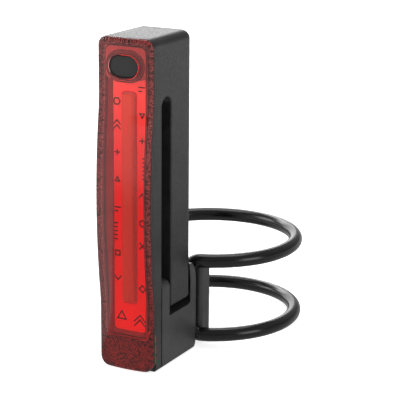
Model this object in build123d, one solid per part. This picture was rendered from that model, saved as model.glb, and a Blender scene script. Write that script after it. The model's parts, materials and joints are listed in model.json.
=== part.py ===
"""Bicycle rear light on an elastic seat-post strap, in millimetres, +Z up.

The light is a rigid fork: a thin front leg with the lamp, a solid head, and a thick rear leg with the
battery. A strap mount holds it: its tongue stands in the slot between the legs and its rear wall stands
behind the rear leg. A closed rubber cord runs in the mount's side channels and makes two rings round the
post. Sizes are worked out with X across, Y backwards from the seam of lens and housing, and Z up from the
base. The finished pieces are then moved so that the origin lies on the axis of the post, at base level.
"""

import math
import os

from build123d import *

# Light, overall
LIGHT_LENGTH = 70.0
LIGHT_WIDTH = 12.8
FRONT_LEG_DEPTH = 2.5
SLOT_WIDTH = 3.9
REAR_LEG_DEPTH = 9.4
HEAD_LENGTH = 12.4
REAR_LEG_END = 12.3
TOP_EDGE_RADIUS = 1.9
REAR_CORNER_RADIUS = 2.4
LEG_END_RADIUS = 0.95
BASE_EDGE_RADIUS = 0.5
SLOT_EDGE_RADIUS = 0.35

# Forward bulge of the lens and of the housing's front, over the middle of the length
BULGE_DEPTH = 1.4
BULGE_START = 12.0
BULGE_TOP_RUN = 11.0
BULGE_BLEND_RADIUS = 40.0

# Lens
LENS_CROWN_DEPTH = 2.24
LENS_CROWN_RADIUS = 28.0
LENS_WALL = 1.1
LENS_EDGE_RADIUS = 0.7
LENS_CORNER_RADIUS = 1.9
WINDOW_START = 7.2
WINDOW_TOP_RIM = 1.8
WINDOW_SIDE_RIM = 1.8
WINDOW_CORNER_RADIUS = 1.2
LENS_CAVITY_STEP = 0.3

# Seal between lens and housing
SEAL_WIDTH = 0.6
SEAL_DEPTH = 0.5
SEAL_INSET = 0.5
SEAL_FIT = 0.04

# Walls of the housing
TRAY_FLOOR = 0.9
LEG_WALL = 1.1
LEG_SIDE_WALL = 1.1
LEG_REAR_WALL = 1.2
HEAD_WALL = 1.6
HEAD_FRONT_WALL = 2.2
SLOT_TOP_WALL = 1.3
CAVITY_CORNER_RADIUS = 1.2
FLEX_WINDOW_WIDTH = 5.2
FLEX_WINDOW_HEIGHT = 2.4
FLEX_WINDOW_RISE = 1.0

# Push button, its bezel and its switch
BUTTON_LENGTH = 6.6
BUTTON_HEIGHT = 4.4
BUTTON_DROP = 5.8
BUTTON_RECESS = 0.64
BUTTON_CLEARANCE = 0.12
BUTTON_TRAVEL = 0.3
BUTTON_FLANGE_LIP = 0.5
BUTTON_FLANGE_THICKNESS = 0.25
BUTTON_EDGE_RADIUS = 0.25
COLLAR_WALL = 1.0
BEZEL_DEPTH = 1.52
BEZEL_THICKNESS = 0.32
BEZEL_BELOW_BUTTON = 2.7
BEZEL_CLEARANCE = 0.1
SWITCH_WIDTH = 3.5
SWITCH_HEIGHT = 2.9
SWITCH_THICKNESS = 0.65
PLUNGER_DIAMETER = 1.3
RUNNING_FIT = 0.05

# Lamp
LED_BOARD_THICKNESS = 0.6
BOARD_FIT = 0.05
EDGE_FIT = 0.1
FILM_THICKNESS = 0.2
FILM_SIDE_MARGIN = 0.4
FILM_END_MARGIN = 0.7
LED_STRIP_WIDTH = 2.94
LED_STRIP_HEIGHT = 1.25
LED_STRIP_BOTTOM_GAP = 7.2
LED_STRIP_TOP_GAP = 3.0
LED_STRIP_RADIUS = 0.3
LED_STRIP_FIT = 0.15

# Electronics and battery
MAIN_BOARD_THICKNESS = 0.8
MAIN_BOARD_LENGTH = 8.8
MAIN_BOARD_SETBACK = 0.8
RIB_WIDTH = 0.5
RIB_DEPTH = 0.7
FLEX_THICKNESS = 0.15
FLEX_WIDTH = 3.0
FLEX_BEND_RADIUS = 0.5
LED_FLEX_STEP = 2.6
BATTERY_WIDTH = 9.5
BATTERY_THICKNESS = 6.0
BATTERY_TOP_ROOM = 4.35
BATTERY_GAP = 0.2
BATTERY_EDGE_RADIUS = 0.8
LEAD_DIAMETER = 0.8
LEAD_SPACING = 2.4
LEAD_BEND_RADIUS = 1.4
CHIP_FRONT_SIZE = 3.0
CHIP_REAR_SIZE = 4.0
CHIP_THICKNESS = 0.55
COIL_SIZE = 2.0

# Charging socket and the cap of the rear leg
CAP_THICKNESS = 1.2
CAP_PLUG_LENGTH = 1.2
CAP_PLUG_INSET = 0.45
CAP_FIT = 0.05
SOCKET_WIDTH = 8.94
SOCKET_THICKNESS = 3.26
SOCKET_LENGTH = 7.3
SOCKET_WALL = 0.3
SOCKET_INSET = 0.2
SOCKET_FIT = 0.08
SOCKET_SETBACK = 1.0
SOCKET_TONGUE_WIDTH = 6.7
SOCKET_TONGUE_THICKNESS = 0.7
SOCKET_TONGUE_RECESS = 0.9
SOCKET_BACK_LENGTH = 1.2
CHARGE_BOARD_THICKNESS = 0.6
CHARGE_BOARD_LENGTH = 6.2
CHARGE_FLEX_RUN = 0.6
MAGNET_WIDTH = 6.0
MAGNET_HEIGHT = 4.0
MAGNET_THICKNESS = 1.6
MAGNET_FIT = 0.05

# Strap mount
MOUNT_SEAM = 0.12
TONGUE_REAR_CLEARANCE = 0.6
TONGUE_HEIGHT = 18.85
TONGUE_EDGE_RADIUS = 1.7
POCKET_FLOOR = 10.75
POCKET_CLEARANCE = 0.45
POCKET_LIP_CLEARANCE = 0.15
POCKET_CORNER_RADIUS = 2.65
MOUNT_WALL = 1.1
LIP_START = 15.6
LIP_HEIGHT = 5.1
LIP_LEAN = 3.1
LIP_BLUNT = 1.05
BASE_REAR_RADIUS = 1.5
CHANNEL_WIDTH = 2.45
STEM_WIDTH = 3.8
SADDLE_DEPTH = 3.85
SADDLE_BOTTOM = 1.3
SADDLE_TOP = 18.3
SADDLE_FRONT_RADIUS = 0.9
SADDLE_HOLLOW_RADIUS = 16.0
SADDLE_PAD_THICKNESS = 0.8
SADDLE_PAD_WIDTH = 9.6
SADDLE_PAD_LENGTH = 12.0
SADDLE_PAD_CORNER = 1.5
PAD_PROUD = 0.25
REST_PAD_WIDTH = 7.2
REST_PAD_DEPTH = 5.0
REST_PAD_GAP = 0.1
REST_PAD_CORNER = 1.0
KEEPER_WIDTH = 7.0
KEEPER_HEIGHT = 3.2
KEEPER_THICKNESS = 1.2
KEEPER_FIT = 0.05

# Strap and post
POST_RING_BORE = 34.9
CORD_DIAMETER = 3.1
UPPER_RING_HEIGHT = 19.2
LOWER_RING_HEIGHT = 2.37
SHOULDER_RADIUS = 10.0
SHOULDER_START_ANGLE = 28.5
SHOULDER_END_ANGLE = 14.0
CORD_BEND_RADIUS = 3.2
GROOVE_CLEARANCE = 0.06

OVERRUN = 1.0

# Worked out from the sizes above
HALF_WIDTH = LIGHT_WIDTH / 2
BULGE_LENGTH = LIGHT_LENGTH - BULGE_START - BULGE_TOP_RUN
SLOT_REAR = FRONT_LEG_DEPTH + SLOT_WIDTH
LIGHT_DEPTH = SLOT_REAR + REAR_LEG_DEPTH
SLOT_TOP = LIGHT_LENGTH - HEAD_LENGTH
WINDOW_TOP = LIGHT_LENGTH - WINDOW_TOP_RIM
WINDOW_HALF = HALF_WIDTH - WINDOW_SIDE_RIM
TRAY_DEPTH = FRONT_LEG_DEPTH - TRAY_FLOOR
BUTTON_Z = LIGHT_LENGTH - BUTTON_DROP
BUTTON_FRONT = BUTTON_RECESS - LENS_CROWN_DEPTH
BEZEL_FRONT = BEZEL_DEPTH - LENS_CROWN_DEPTH
BEZEL_BACK = BEZEL_FRONT + BEZEL_THICKNESS
BEZEL_BOTTOM = BUTTON_Z - BEZEL_BELOW_BUTTON
LED_BOARD_BACK = TRAY_DEPTH - BOARD_FIT
LED_BOARD_FRONT = LED_BOARD_BACK - LED_BOARD_THICKNESS
LED_BOARD_HALF = WINDOW_HALF - EDGE_FIT
LED_BOARD_BOTTOM = WINDOW_START + EDGE_FIT
LED_STRIP_BOTTOM = WINDOW_START + LED_STRIP_BOTTOM_GAP
LED_STRIP_TOP = BEZEL_BOTTOM - LED_STRIP_TOP_GAP
CAVITY_FRONT = SLOT_REAR + LEG_WALL
CAVITY_REAR = LIGHT_DEPTH - LEG_REAR_WALL
CAVITY_HALF = HALF_WIDTH - LEG_SIDE_WALL
CAVITY_TOP = LIGHT_LENGTH - HEAD_WALL
HEAD_CAVITY_BOTTOM = SLOT_TOP + SLOT_TOP_WALL
HEAD_CAVITY_FRONT = TRAY_DEPTH + HEAD_FRONT_WALL
FLEX_WINDOW_BOTTOM = HEAD_CAVITY_BOTTOM + FLEX_WINDOW_RISE
MAIN_BOARD_FRONT = CAVITY_FRONT + MAIN_BOARD_SETBACK
MAIN_BOARD_BACK = MAIN_BOARD_FRONT + MAIN_BOARD_THICKNESS
MAIN_BOARD_TOP = CAVITY_TOP - EDGE_FIT
MAIN_BOARD_BOTTOM = MAIN_BOARD_TOP - MAIN_BOARD_LENGTH
CAP_TOP = REAR_LEG_END + CAP_THICKNESS
CAP_PLUG_TOP = CAP_TOP + CAP_PLUG_LENGTH
CHARGE_BOARD_BOTTOM = CAP_PLUG_TOP + BOARD_FIT
CHARGE_BOARD_TOP = CHARGE_BOARD_BOTTOM + CHARGE_BOARD_LENGTH
SOCKET_BACK = CAVITY_REAR - SOCKET_SETBACK
SOCKET_FRONT = SOCKET_BACK - SOCKET_THICKNESS
SOCKET_MID = (SOCKET_FRONT + SOCKET_BACK) / 2
SOCKET_BOTTOM = REAR_LEG_END + SOCKET_INSET
CHARGE_BOARD_FRONT = SOCKET_FRONT - CHARGE_BOARD_THICKNESS
BATTERY_BOTTOM = CHARGE_BOARD_TOP + BATTERY_GAP
BATTERY_TOP = MAIN_BOARD_BOTTOM - BATTERY_TOP_ROOM
BATTERY_FRONT = CAVITY_FRONT + FLEX_THICKNESS + BATTERY_GAP
BATTERY_BACK = BATTERY_FRONT + BATTERY_THICKNESS
TONGUE_FRONT = FRONT_LEG_DEPTH + MOUNT_SEAM
TONGUE_BACK = SLOT_REAR - TONGUE_REAR_CLEARANCE
WALL_BACK = LIGHT_DEPTH + POCKET_CLEARANCE + MOUNT_WALL
SADDLE_FRONT = WALL_BACK + CHANNEL_WIDTH
SADDLE_BACK = SADDLE_FRONT + SADDLE_DEPTH
SADDLE_MID_Z = (SADDLE_BOTTOM + SADDLE_TOP) / 2
LIP_TOP = LIP_START + LIP_HEIGHT
CORD_RADIUS = CORD_DIAMETER / 2
RING_RADIUS = POST_RING_BORE / 2 + CORD_RADIUS
CHANNEL_MID = WALL_BACK + CHANNEL_WIDTH / 2
SHOULDER_START = math.radians(SHOULDER_START_ANGLE)
SHOULDER_END = math.radians(SHOULDER_END_ANGLE)
SHOULDER_OFFSET = RING_RADIUS - SHOULDER_RADIUS
SHOULDER_REACH = SHOULDER_RADIUS * math.cos(SHOULDER_END) + CORD_BEND_RADIUS * math.sin(SHOULDER_END)
POST_AXIS_DEPTH = CHANNEL_MID + SHOULDER_OFFSET * math.cos(SHOULDER_START) + SHOULDER_REACH


def block(half_width, front, back, bottom, top):
    """Box that is symmetric about the middle plane."""
    centre = Pos(0, (front + back) / 2, (bottom + top) / 2)
    return centre * Box(2 * half_width, back - front, top - bottom)


def front_plane(depth, height):
    """Plane that faces backwards at a depth, centred at a height."""
    return Plane(origin=(0, depth, height), x_dir=(1, 0, 0), z_dir=(0, 1, 0))


def rounded_slab(half_width, bottom, top, front, back, radius):
    """Slab with a rounded rectangle in front view."""
    outline = front_plane(front, (bottom + top) / 2) * RectangleRounded(2 * half_width, top - bottom, radius)
    return extrude(outline, amount=back - front)


def stadium(length, height, front, back):
    """Oval bar across the light at the button's height."""
    outline = front_plane(front, BUTTON_Z) * SlotOverall(length, height)
    return extrude(outline, amount=back - front)


def arc_yz(centre_y, centre_z, radius, start, end):
    """Arc in the middle plane, from a start to an end angle in degrees."""

    def point(angle):
        turn = math.radians(angle)
        return (0, centre_y + radius * math.cos(turn), centre_z + radius * math.sin(turn))

    return ThreePointArc(point(start), point((start + end) / 2), point(end))


def line_yz(start, end):
    """Straight edge in the middle plane between two (y, z) points."""
    return Line((0, *start), (0, *end))


def side_solid(edges, half_width=HALF_WIDTH):
    """Closed outline in the middle plane, extruded to both sides."""
    return extrude(Face(Wire(edges)), amount=half_width, dir=(1, 0, 0), both=True)


def seam_edges(shift=0):
    """Front line of the housing in side view, from base to top: straight, bulged, straight."""
    half_length = BULGE_LENGTH / 2
    turn = 2 * math.atan(BULGE_DEPTH / half_length)
    crest_radius = half_length / math.sin(turn) - BULGE_BLEND_RADIUS
    middle = BULGE_START + half_length
    end = BULGE_START + BULGE_LENGTH
    degrees = math.degrees(turn)
    low = arc_yz(shift - BULGE_BLEND_RADIUS, BULGE_START, BULGE_BLEND_RADIUS, 0, degrees)
    crest = arc_yz(shift - BULGE_DEPTH + crest_radius, middle, crest_radius, 180 + degrees, 180 - degrees)
    high = arc_yz(shift - BULGE_BLEND_RADIUS, end, BULGE_BLEND_RADIUS, -degrees, 0)
    foot = line_yz((shift, 0), (shift, BULGE_START))
    head = line_yz((shift, end), (shift, LIGHT_LENGTH))
    return [foot, low, crest, high, head]


def seam_slab(front, back, half_width=HALF_WIDTH + OVERRUN):
    """Slab between two copies of the seam line, shifted to a front and a back depth."""
    base = line_yz((front, 0), (back, 0))
    top = line_yz((front, LIGHT_LENGTH), (back, LIGHT_LENGTH))
    return side_solid([*seam_edges(front), top, *seam_edges(back), base], half_width)


def front_outline(front, back):
    """Front view of the whole light as a bar along Y, with a small radius at the base."""
    face = Pos(0, LIGHT_LENGTH / 2) * Rectangle(LIGHT_WIDTH, LIGHT_LENGTH)
    face = fillet(face.vertices().sort_by(Axis.Y)[:2], BASE_EDGE_RADIUS)
    plane = Plane(origin=(0, back, 0), x_dir=(1, 0, 0), z_dir=(0, -1, 0))
    return extrude(plane * face, amount=back - front)


def leg_plan(clearance, bottom, top, front):
    """Rear leg's plan outline, grown by a clearance and extruded upwards."""
    half = HALF_WIDTH + clearance
    back = LIGHT_DEPTH + clearance
    flat = Pos(0, (front + back) / 2) * Rectangle(2 * half, back - front)
    corners = flat.vertices().sort_by(Axis.Y)[-2:]
    outline = fillet(corners, REAR_CORNER_RADIUS + clearance)
    return extrude(Pos(0, 0, bottom) * outline, amount=top - bottom)


def rim_edges(bar, end):
    """Side and rear edges of an upright bar's end face: the top one at -1, the bottom one at 0."""
    edges = bar.faces().sort_by(Axis.Z)[end].edges().sort_by(Axis.Y)
    return edges[1:]


def rounded_form(front):
    """Outer form of the light: rounded rear corners, and one rounding all along the top's edge."""
    form = leg_plan(0, 0, LIGHT_LENGTH, front)
    return fillet(rim_edges(form, -1), TOP_EDGE_RADIUS)


def leg_form(front):
    """Outer form of the rear leg's lower part, eased all along its end's edge."""
    form = leg_plan(0, REAR_LEG_END, SLOT_TOP, front)
    return fillet(rim_edges(form, 0), LEG_END_RADIUS)


def cavity_plan(half_width, front, back, bottom, top, radius):
    """Upright bar with a rounded rectangle as its plan."""
    outline = Pos(0, (front + back) / 2, bottom) * RectangleRounded(2 * half_width, back - front, radius)
    return extrude(outline, amount=top - bottom)


def at_slot_mouth(place):
    """Whether an edge's middle lies on the slot's outline at either side of the housing."""
    near = SLOT_EDGE_RADIUS
    beside = abs(place.X) > HALF_WIDTH - near
    within = FRONT_LEG_DEPTH - near < place.Y < SLOT_REAR + near
    return beside and within and REAR_LEG_END < place.Z < SLOT_TOP + near


def fork():
    """Outside of the housing: two legs and a head, with the slot's mouth edges eased."""
    rear = LIGHT_DEPTH
    slot_radius = SLOT_WIDTH / 2
    slot_mid = FRONT_LEG_DEPTH + slot_radius
    shoulder = SLOT_TOP - slot_radius
    edges = seam_edges() + [
        line_yz((0, LIGHT_LENGTH), (rear, LIGHT_LENGTH)),
        line_yz((rear, LIGHT_LENGTH), (rear, REAR_LEG_END)),
        line_yz((rear, REAR_LEG_END), (SLOT_REAR, REAR_LEG_END)),
        line_yz((SLOT_REAR, REAR_LEG_END), (SLOT_REAR, shoulder)),
        arc_yz(slot_mid, shoulder, slot_radius, 0, 180),
        line_yz((FRONT_LEG_DEPTH, shoulder), (FRONT_LEG_DEPTH, 0)),
        line_yz((FRONT_LEG_DEPTH, 0), (0, 0)),
    ]
    body = side_solid(edges)
    body = fillet([edge for edge in body.edges() if at_slot_mouth(edge.center())], SLOT_EDGE_RADIUS)
    front = -BULGE_DEPTH - OVERRUN
    body &= rounded_form(front)
    low = REAR_LEG_END - OVERRUN
    end = block(HALF_WIDTH + OVERRUN, SLOT_REAR, rear + OVERRUN, low, REAR_LEG_END + LEG_END_RADIUS)
    body -= end - leg_form(SLOT_REAR)
    return body & front_outline(front, rear + OVERRUN)


def window_bar(grow, front, back):
    """Bar along Y with the window's outline, grown on all sides."""
    radius = WINDOW_CORNER_RADIUS + grow
    return rounded_slab(WINDOW_HALF + grow, WINDOW_START - grow, WINDOW_TOP + grow, front, back, radius)


def seal_ring(depth, fit):
    """Ring behind the lens rim, from the seam line backwards."""
    front = -BULGE_DEPTH - OVERRUN
    ring = window_bar(SEAL_INSET + SEAL_WIDTH + fit, front, FRONT_LEG_DEPTH)
    ring -= window_bar(SEAL_INSET - fit, front, FRONT_LEG_DEPTH)
    return ring & seam_slab(0, depth)


def make_housing():
    """Fork-shaped shell, open at the front under the lens and at the rear leg's lower end."""
    over = -BULGE_DEPTH - OVERRUN
    body = fork()
    body -= window_bar(0, over, TRAY_DEPTH)
    body -= cavity_plan(
        CAVITY_HALF, CAVITY_FRONT, CAVITY_REAR, REAR_LEG_END - OVERRUN, CAVITY_TOP, CAVITY_CORNER_RADIUS
    )
    body -= cavity_plan(
        CAVITY_HALF, HEAD_CAVITY_FRONT, CAVITY_REAR, HEAD_CAVITY_BOTTOM, CAVITY_TOP, CAVITY_CORNER_RADIUS
    )
    body -= block(
        FLEX_WINDOW_WIDTH / 2,
        TRAY_DEPTH - BOARD_FIT,
        HEAD_CAVITY_FRONT + OVERRUN,
        FLEX_WINDOW_BOTTOM,
        FLEX_WINDOW_BOTTOM + FLEX_WINDOW_HEIGHT,
    )
    for front in (MAIN_BOARD_FRONT - BOARD_FIT - RIB_DEPTH, MAIN_BOARD_BACK + BOARD_FIT):
        for side in (-1, 1):
            rib = block(RIB_WIDTH / 2, front, front + RIB_DEPTH, HEAD_CAVITY_BOTTOM, CAVITY_TOP)
            body += Pos(side * (CAVITY_HALF - RIB_WIDTH / 2), 0, 0) * rib
    return body - seal_ring(SEAL_DEPTH, SEAL_FIT)


def make_lens_gasket():
    """Rubber ring in its groove in the housing's front rim."""
    return seal_ring(SEAL_DEPTH - SEAL_FIT, 0)


def crown_section(half_width, crown, back):
    """Plan section of the lens: flat back, straight sides and an arched front."""
    sagitta = LENS_CROWN_RADIUS - math.sqrt(LENS_CROWN_RADIUS**2 - half_width**2)
    shoulder = sagitta - crown
    sides = [
        Line((-half_width, back), (half_width, back)),
        Line((half_width, back), (half_width, shoulder)),
        ThreePointArc((half_width, shoulder), (0, -crown), (-half_width, shoulder)),
        Line((-half_width, shoulder), (-half_width, back)),
    ]
    return make_face(sides)


def along_seam(section):
    """Section carried up the light along the seam line."""
    return sweep(section, path=Wire(seam_edges()))


def make_lens():
    """Red cover: crowned across, bulged along, hollow behind, with a collar round the button."""
    front = -LENS_CROWN_DEPTH - BULGE_DEPTH - OVERRUN
    section = crown_section(HALF_WIDTH, LENS_CROWN_DEPTH, 0)
    section = fillet(section.vertices().sort_by(Axis.Y)[:2], LENS_EDGE_RADIUS)
    body = along_seam(section)
    body &= rounded_slab(HALF_WIDTH, 0, LIGHT_LENGTH, front, OVERRUN, LENS_CORNER_RADIUS)
    hollow = along_seam(crown_section(HALF_WIDTH, LENS_CROWN_DEPTH - LENS_WALL, OVERRUN))
    hollow &= window_bar(LENS_CAVITY_STEP, front, OVERRUN)
    collar = stadium(
        BUTTON_LENGTH + 2 * (BUTTON_CLEARANCE + COLLAR_WALL),
        BUTTON_HEIGHT + 2 * (BUTTON_CLEARANCE + COLLAR_WALL),
        BUTTON_FRONT,
        BEZEL_FRONT,
    )
    body -= hollow - collar
    return body - stadium(
        BUTTON_LENGTH + 2 * BUTTON_CLEARANCE, BUTTON_HEIGHT + 2 * BUTTON_CLEARANCE, front, OVERRUN
    )


def make_button_bezel():
    """Plate behind the lens collar, with the button's hole."""
    plate = rounded_slab(
        WINDOW_HALF - BEZEL_CLEARANCE,
        BEZEL_BOTTOM,
        WINDOW_TOP - BEZEL_CLEARANCE,
        BEZEL_FRONT,
        BEZEL_BACK,
        WINDOW_CORNER_RADIUS,
    )
    return plate - stadium(
        BUTTON_LENGTH + 2 * BUTTON_CLEARANCE,
        BUTTON_HEIGHT + 2 * BUTTON_CLEARANCE,
        BEZEL_FRONT - OVERRUN,
        BEZEL_BACK + OVERRUN,
    )


def make_button_cap():
    """Oval cap with the flange that keeps it behind the bezel."""
    flange_front = BEZEL_BACK + RUNNING_FIT
    cap = stadium(BUTTON_LENGTH, BUTTON_HEIGHT, BUTTON_FRONT, flange_front)
    cap = fillet(cap.faces().sort_by(Axis.Y)[0].edges(), BUTTON_EDGE_RADIUS)
    return cap + stadium(
        BUTTON_LENGTH + 2 * BUTTON_FLANGE_LIP,
        BUTTON_HEIGHT + 2 * BUTTON_FLANGE_LIP,
        flange_front,
        flange_front + BUTTON_FLANGE_THICKNESS,
    )


def upright_disc(radius, front, back, height):
    """Round bar along Y at a height on the middle plane."""
    return extrude(front_plane(front, height) * Circle(radius), amount=back - front)


def make_switch_plunger():
    """Pin between the button's flange and the inside of the switch."""
    front = BEZEL_BACK + RUNNING_FIT + BUTTON_FLANGE_THICKNESS
    back = LED_BOARD_FRONT - BUTTON_TRAVEL - RUNNING_FIT
    return upright_disc(PLUNGER_DIAMETER / 2, front, back, BUTTON_Z)


def make_tact_switch():
    """Switch body on the LED board, bored for its plunger."""
    front = LED_BOARD_FRONT - SWITCH_THICKNESS
    body = block(
        SWITCH_WIDTH / 2,
        front,
        LED_BOARD_FRONT,
        BUTTON_Z - SWITCH_HEIGHT / 2,
        BUTTON_Z + SWITCH_HEIGHT / 2,
    )
    return body - upright_disc(
        PLUNGER_DIAMETER / 2 + RUNNING_FIT, front - OVERRUN, LED_BOARD_FRONT + OVERRUN, BUTTON_Z
    )


def make_led_board():
    """Circuit board on the floor of the front tray."""
    return window_bar(-EDGE_FIT, LED_BOARD_FRONT, LED_BOARD_BACK)


def make_led_strip():
    """Long moulded light bar on the LED board."""
    bar = block(
        LED_STRIP_WIDTH / 2,
        LED_BOARD_FRONT - LED_STRIP_HEIGHT,
        LED_BOARD_FRONT,
        LED_STRIP_BOTTOM,
        LED_STRIP_TOP,
    )
    return fillet(bar.faces().sort_by(Axis.Y)[0].edges(), LED_STRIP_RADIUS)


def make_reflector_film():
    """Bright film on the LED board, with a slot for the light bar."""
    back = LED_BOARD_FRONT
    front = back - FILM_THICKNESS
    film = rounded_slab(
        LED_BOARD_HALF - FILM_SIDE_MARGIN,
        LED_BOARD_BOTTOM + FILM_END_MARGIN,
        BEZEL_BOTTOM - EDGE_FIT,
        front,
        back,
        WINDOW_CORNER_RADIUS - FILM_SIDE_MARGIN,
    )
    return film - block(
        LED_STRIP_WIDTH / 2 + LED_STRIP_FIT,
        front - OVERRUN,
        back + OVERRUN,
        LED_STRIP_BOTTOM - LED_STRIP_FIT,
        LED_STRIP_TOP + LED_STRIP_FIT,
    )


def ribbon(points, radius):
    """Flat flex of constant thickness along a bent line of (y, z) points in the middle plane."""
    path = FilletPolyline(*points, radius=radius)
    flat = Plane.YZ * make_face(offset(path, FLEX_THICKNESS / 2, kind=Kind.INTERSECTION))
    return extrude(flat, amount=FLEX_WIDTH / 2, both=True)


def make_led_flex():
    """Flex from the LED board, through the housing's window, to the main board."""
    low = FLEX_WINDOW_BOTTOM + FLEX_WINDOW_HEIGHT / 2
    high = low + LED_FLEX_STEP
    bend = (HEAD_CAVITY_FRONT + MAIN_BOARD_FRONT) / 2
    start = LED_BOARD_BACK + FLEX_THICKNESS / 2
    end = MAIN_BOARD_FRONT - FLEX_THICKNESS / 2
    return ribbon([(start, low), (bend, low), (bend, high), (end, high)], FLEX_BEND_RADIUS)


def make_main_board():
    """Circuit board between the ribs of the head."""
    return block(
        CAVITY_HALF - EDGE_FIT, MAIN_BOARD_FRONT, MAIN_BOARD_BACK, MAIN_BOARD_BOTTOM, MAIN_BOARD_TOP
    )


def make_board_chips():
    """Controller, charger and coil on the main board."""
    upper = MAIN_BOARD_TOP - CHIP_REAR_SIZE
    lower = MAIN_BOARD_TOP - MAIN_BOARD_LENGTH / 2
    rear = block(
        CHIP_REAR_SIZE / 2,
        MAIN_BOARD_BACK,
        MAIN_BOARD_BACK + CHIP_THICKNESS,
        upper,
        MAIN_BOARD_TOP - EDGE_FIT,
    )
    side = CAVITY_HALF - RIB_WIDTH - CHIP_FRONT_SIZE / 2 - EDGE_FIT
    front = Pos(side, 0, 0) * block(
        CHIP_FRONT_SIZE / 2,
        MAIN_BOARD_FRONT - CHIP_THICKNESS,
        MAIN_BOARD_FRONT,
        lower - CHIP_FRONT_SIZE,
        lower,
    )
    coil = Pos(-side, 0, 0) * block(
        COIL_SIZE / 2, MAIN_BOARD_FRONT - CHIP_THICKNESS, MAIN_BOARD_FRONT, lower - COIL_SIZE, lower
    )
    return Compound(children=[rear, front, coil])


def make_battery_cell():
    """Pouch cell with softened long edges."""
    cell = block(BATTERY_WIDTH / 2, BATTERY_FRONT, BATTERY_BACK, BATTERY_BOTTOM, BATTERY_TOP)
    return fillet(cell.edges().filter_by(Axis.Z), BATTERY_EDGE_RADIUS)


def make_battery_pad():
    """Foam between the cell and the rear wall of the leg."""
    return block(
        BATTERY_WIDTH / 2 - BATTERY_EDGE_RADIUS,
        BATTERY_BACK,
        CAVITY_REAR - BOARD_FIT,
        BATTERY_BOTTOM + BATTERY_EDGE_RADIUS,
        BATTERY_TOP - BATTERY_EDGE_RADIUS,
    )


def make_battery_leads():
    """Two insulated wires from the top of the cell to the back of the main board."""
    rise = MAIN_BOARD_BOTTOM + LEAD_BEND_RADIUS
    start = MAIN_BOARD_BACK + LEAD_BEND_RADIUS + LEAD_DIAMETER
    leads = []
    for side in (-1, 1):
        x = side * LEAD_SPACING / 2
        path = FilletPolyline(
            (x, start, BATTERY_TOP), (x, start, rise), (x, MAIN_BOARD_BACK, rise), radius=LEAD_BEND_RADIUS
        )
        leads.append(sweep(Pos(x, start, BATTERY_TOP) * Circle(LEAD_DIAMETER / 2), path=path))
    return Compound(children=leads)


def make_charge_flex():
    """Flex from the charging board, up the leg's front wall, to the main board."""
    low = CHARGE_BOARD_TOP - CHARGE_FLEX_RUN
    high = MAIN_BOARD_BOTTOM + CHARGE_FLEX_RUN
    run = CAVITY_FRONT + FLEX_THICKNESS / 2 + MAGNET_FIT
    start = CHARGE_BOARD_FRONT - FLEX_THICKNESS / 2
    end = MAIN_BOARD_FRONT - FLEX_THICKNESS / 2
    return ribbon([(start, low), (run, low), (run, high), (end, high)], FLEX_BEND_RADIUS / 2)


def make_charge_board():
    """Small board that carries the charging socket."""
    return block(
        CAVITY_HALF - EDGE_FIT,
        CHARGE_BOARD_FRONT,
        SOCKET_FRONT,
        CHARGE_BOARD_BOTTOM,
        CHARGE_BOARD_TOP,
    )


def socket_bar(shrink, bottom, top):
    """Upright bar with the socket's oval plan, drawn in by a shrink."""
    outline = Pos(0, SOCKET_MID, bottom) * SlotOverall(
        SOCKET_WIDTH - 2 * shrink, SOCKET_THICKNESS - 2 * shrink
    )
    return extrude(outline, amount=top - bottom)


def make_socket_shell():
    """Drawn steel shell of the charging socket, open downwards."""
    top = SOCKET_BOTTOM + SOCKET_LENGTH
    return socket_bar(0, SOCKET_BOTTOM, top) - socket_bar(
        SOCKET_WALL, SOCKET_BOTTOM - OVERRUN, top - SOCKET_WALL
    )


def make_socket_tongue():
    """Insulator of the charging socket: a back block and the contact tongue."""
    top = SOCKET_BOTTOM + SOCKET_LENGTH - SOCKET_WALL
    back = socket_bar(SOCKET_WALL, top - SOCKET_BACK_LENGTH, top)
    return back + block(
        SOCKET_TONGUE_WIDTH / 2,
        SOCKET_MID - SOCKET_TONGUE_THICKNESS / 2,
        SOCKET_MID + SOCKET_TONGUE_THICKNESS / 2,
        SOCKET_BOTTOM + SOCKET_TONGUE_RECESS,
        top - SOCKET_BACK_LENGTH,
    )


def cap_bar(inset, bottom, top):
    """Upright bar that fits the cavity of the rear leg with an inset."""
    return cavity_plan(
        CAVITY_HALF - inset,
        CAVITY_FRONT + inset,
        CAVITY_REAR - inset,
        bottom,
        top,
        CAVITY_CORNER_RADIUS - inset / 2,
    )


def make_end_cap():
    """Plug in the lower end of the rear leg, with the opening for the charging socket."""
    cap = cap_bar(CAP_FIT, REAR_LEG_END, CAP_TOP) + cap_bar(CAP_PLUG_INSET, CAP_TOP, CAP_PLUG_TOP)
    cap &= fork()
    return cap - socket_bar(-SOCKET_FIT, REAR_LEG_END - OVERRUN, CAP_PLUG_TOP + OVERRUN)


def make_cap_gasket():
    """Rubber ring round the plug of the end cap."""
    ring = cap_bar(CAP_FIT, CAP_TOP, CAP_PLUG_TOP - CAP_FIT)
    return ring - cap_bar(CAP_PLUG_INSET, CAP_TOP - OVERRUN, CAP_PLUG_TOP + OVERRUN)


def make_latch_magnet():
    """Block magnet behind the front wall of the rear leg."""
    bottom = CAP_PLUG_TOP + MAGNET_FIT
    front = CAVITY_FRONT + MAGNET_FIT
    return block(MAGNET_WIDTH / 2, front, front + MAGNET_THICKNESS, bottom, bottom + MAGNET_HEIGHT)


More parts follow.
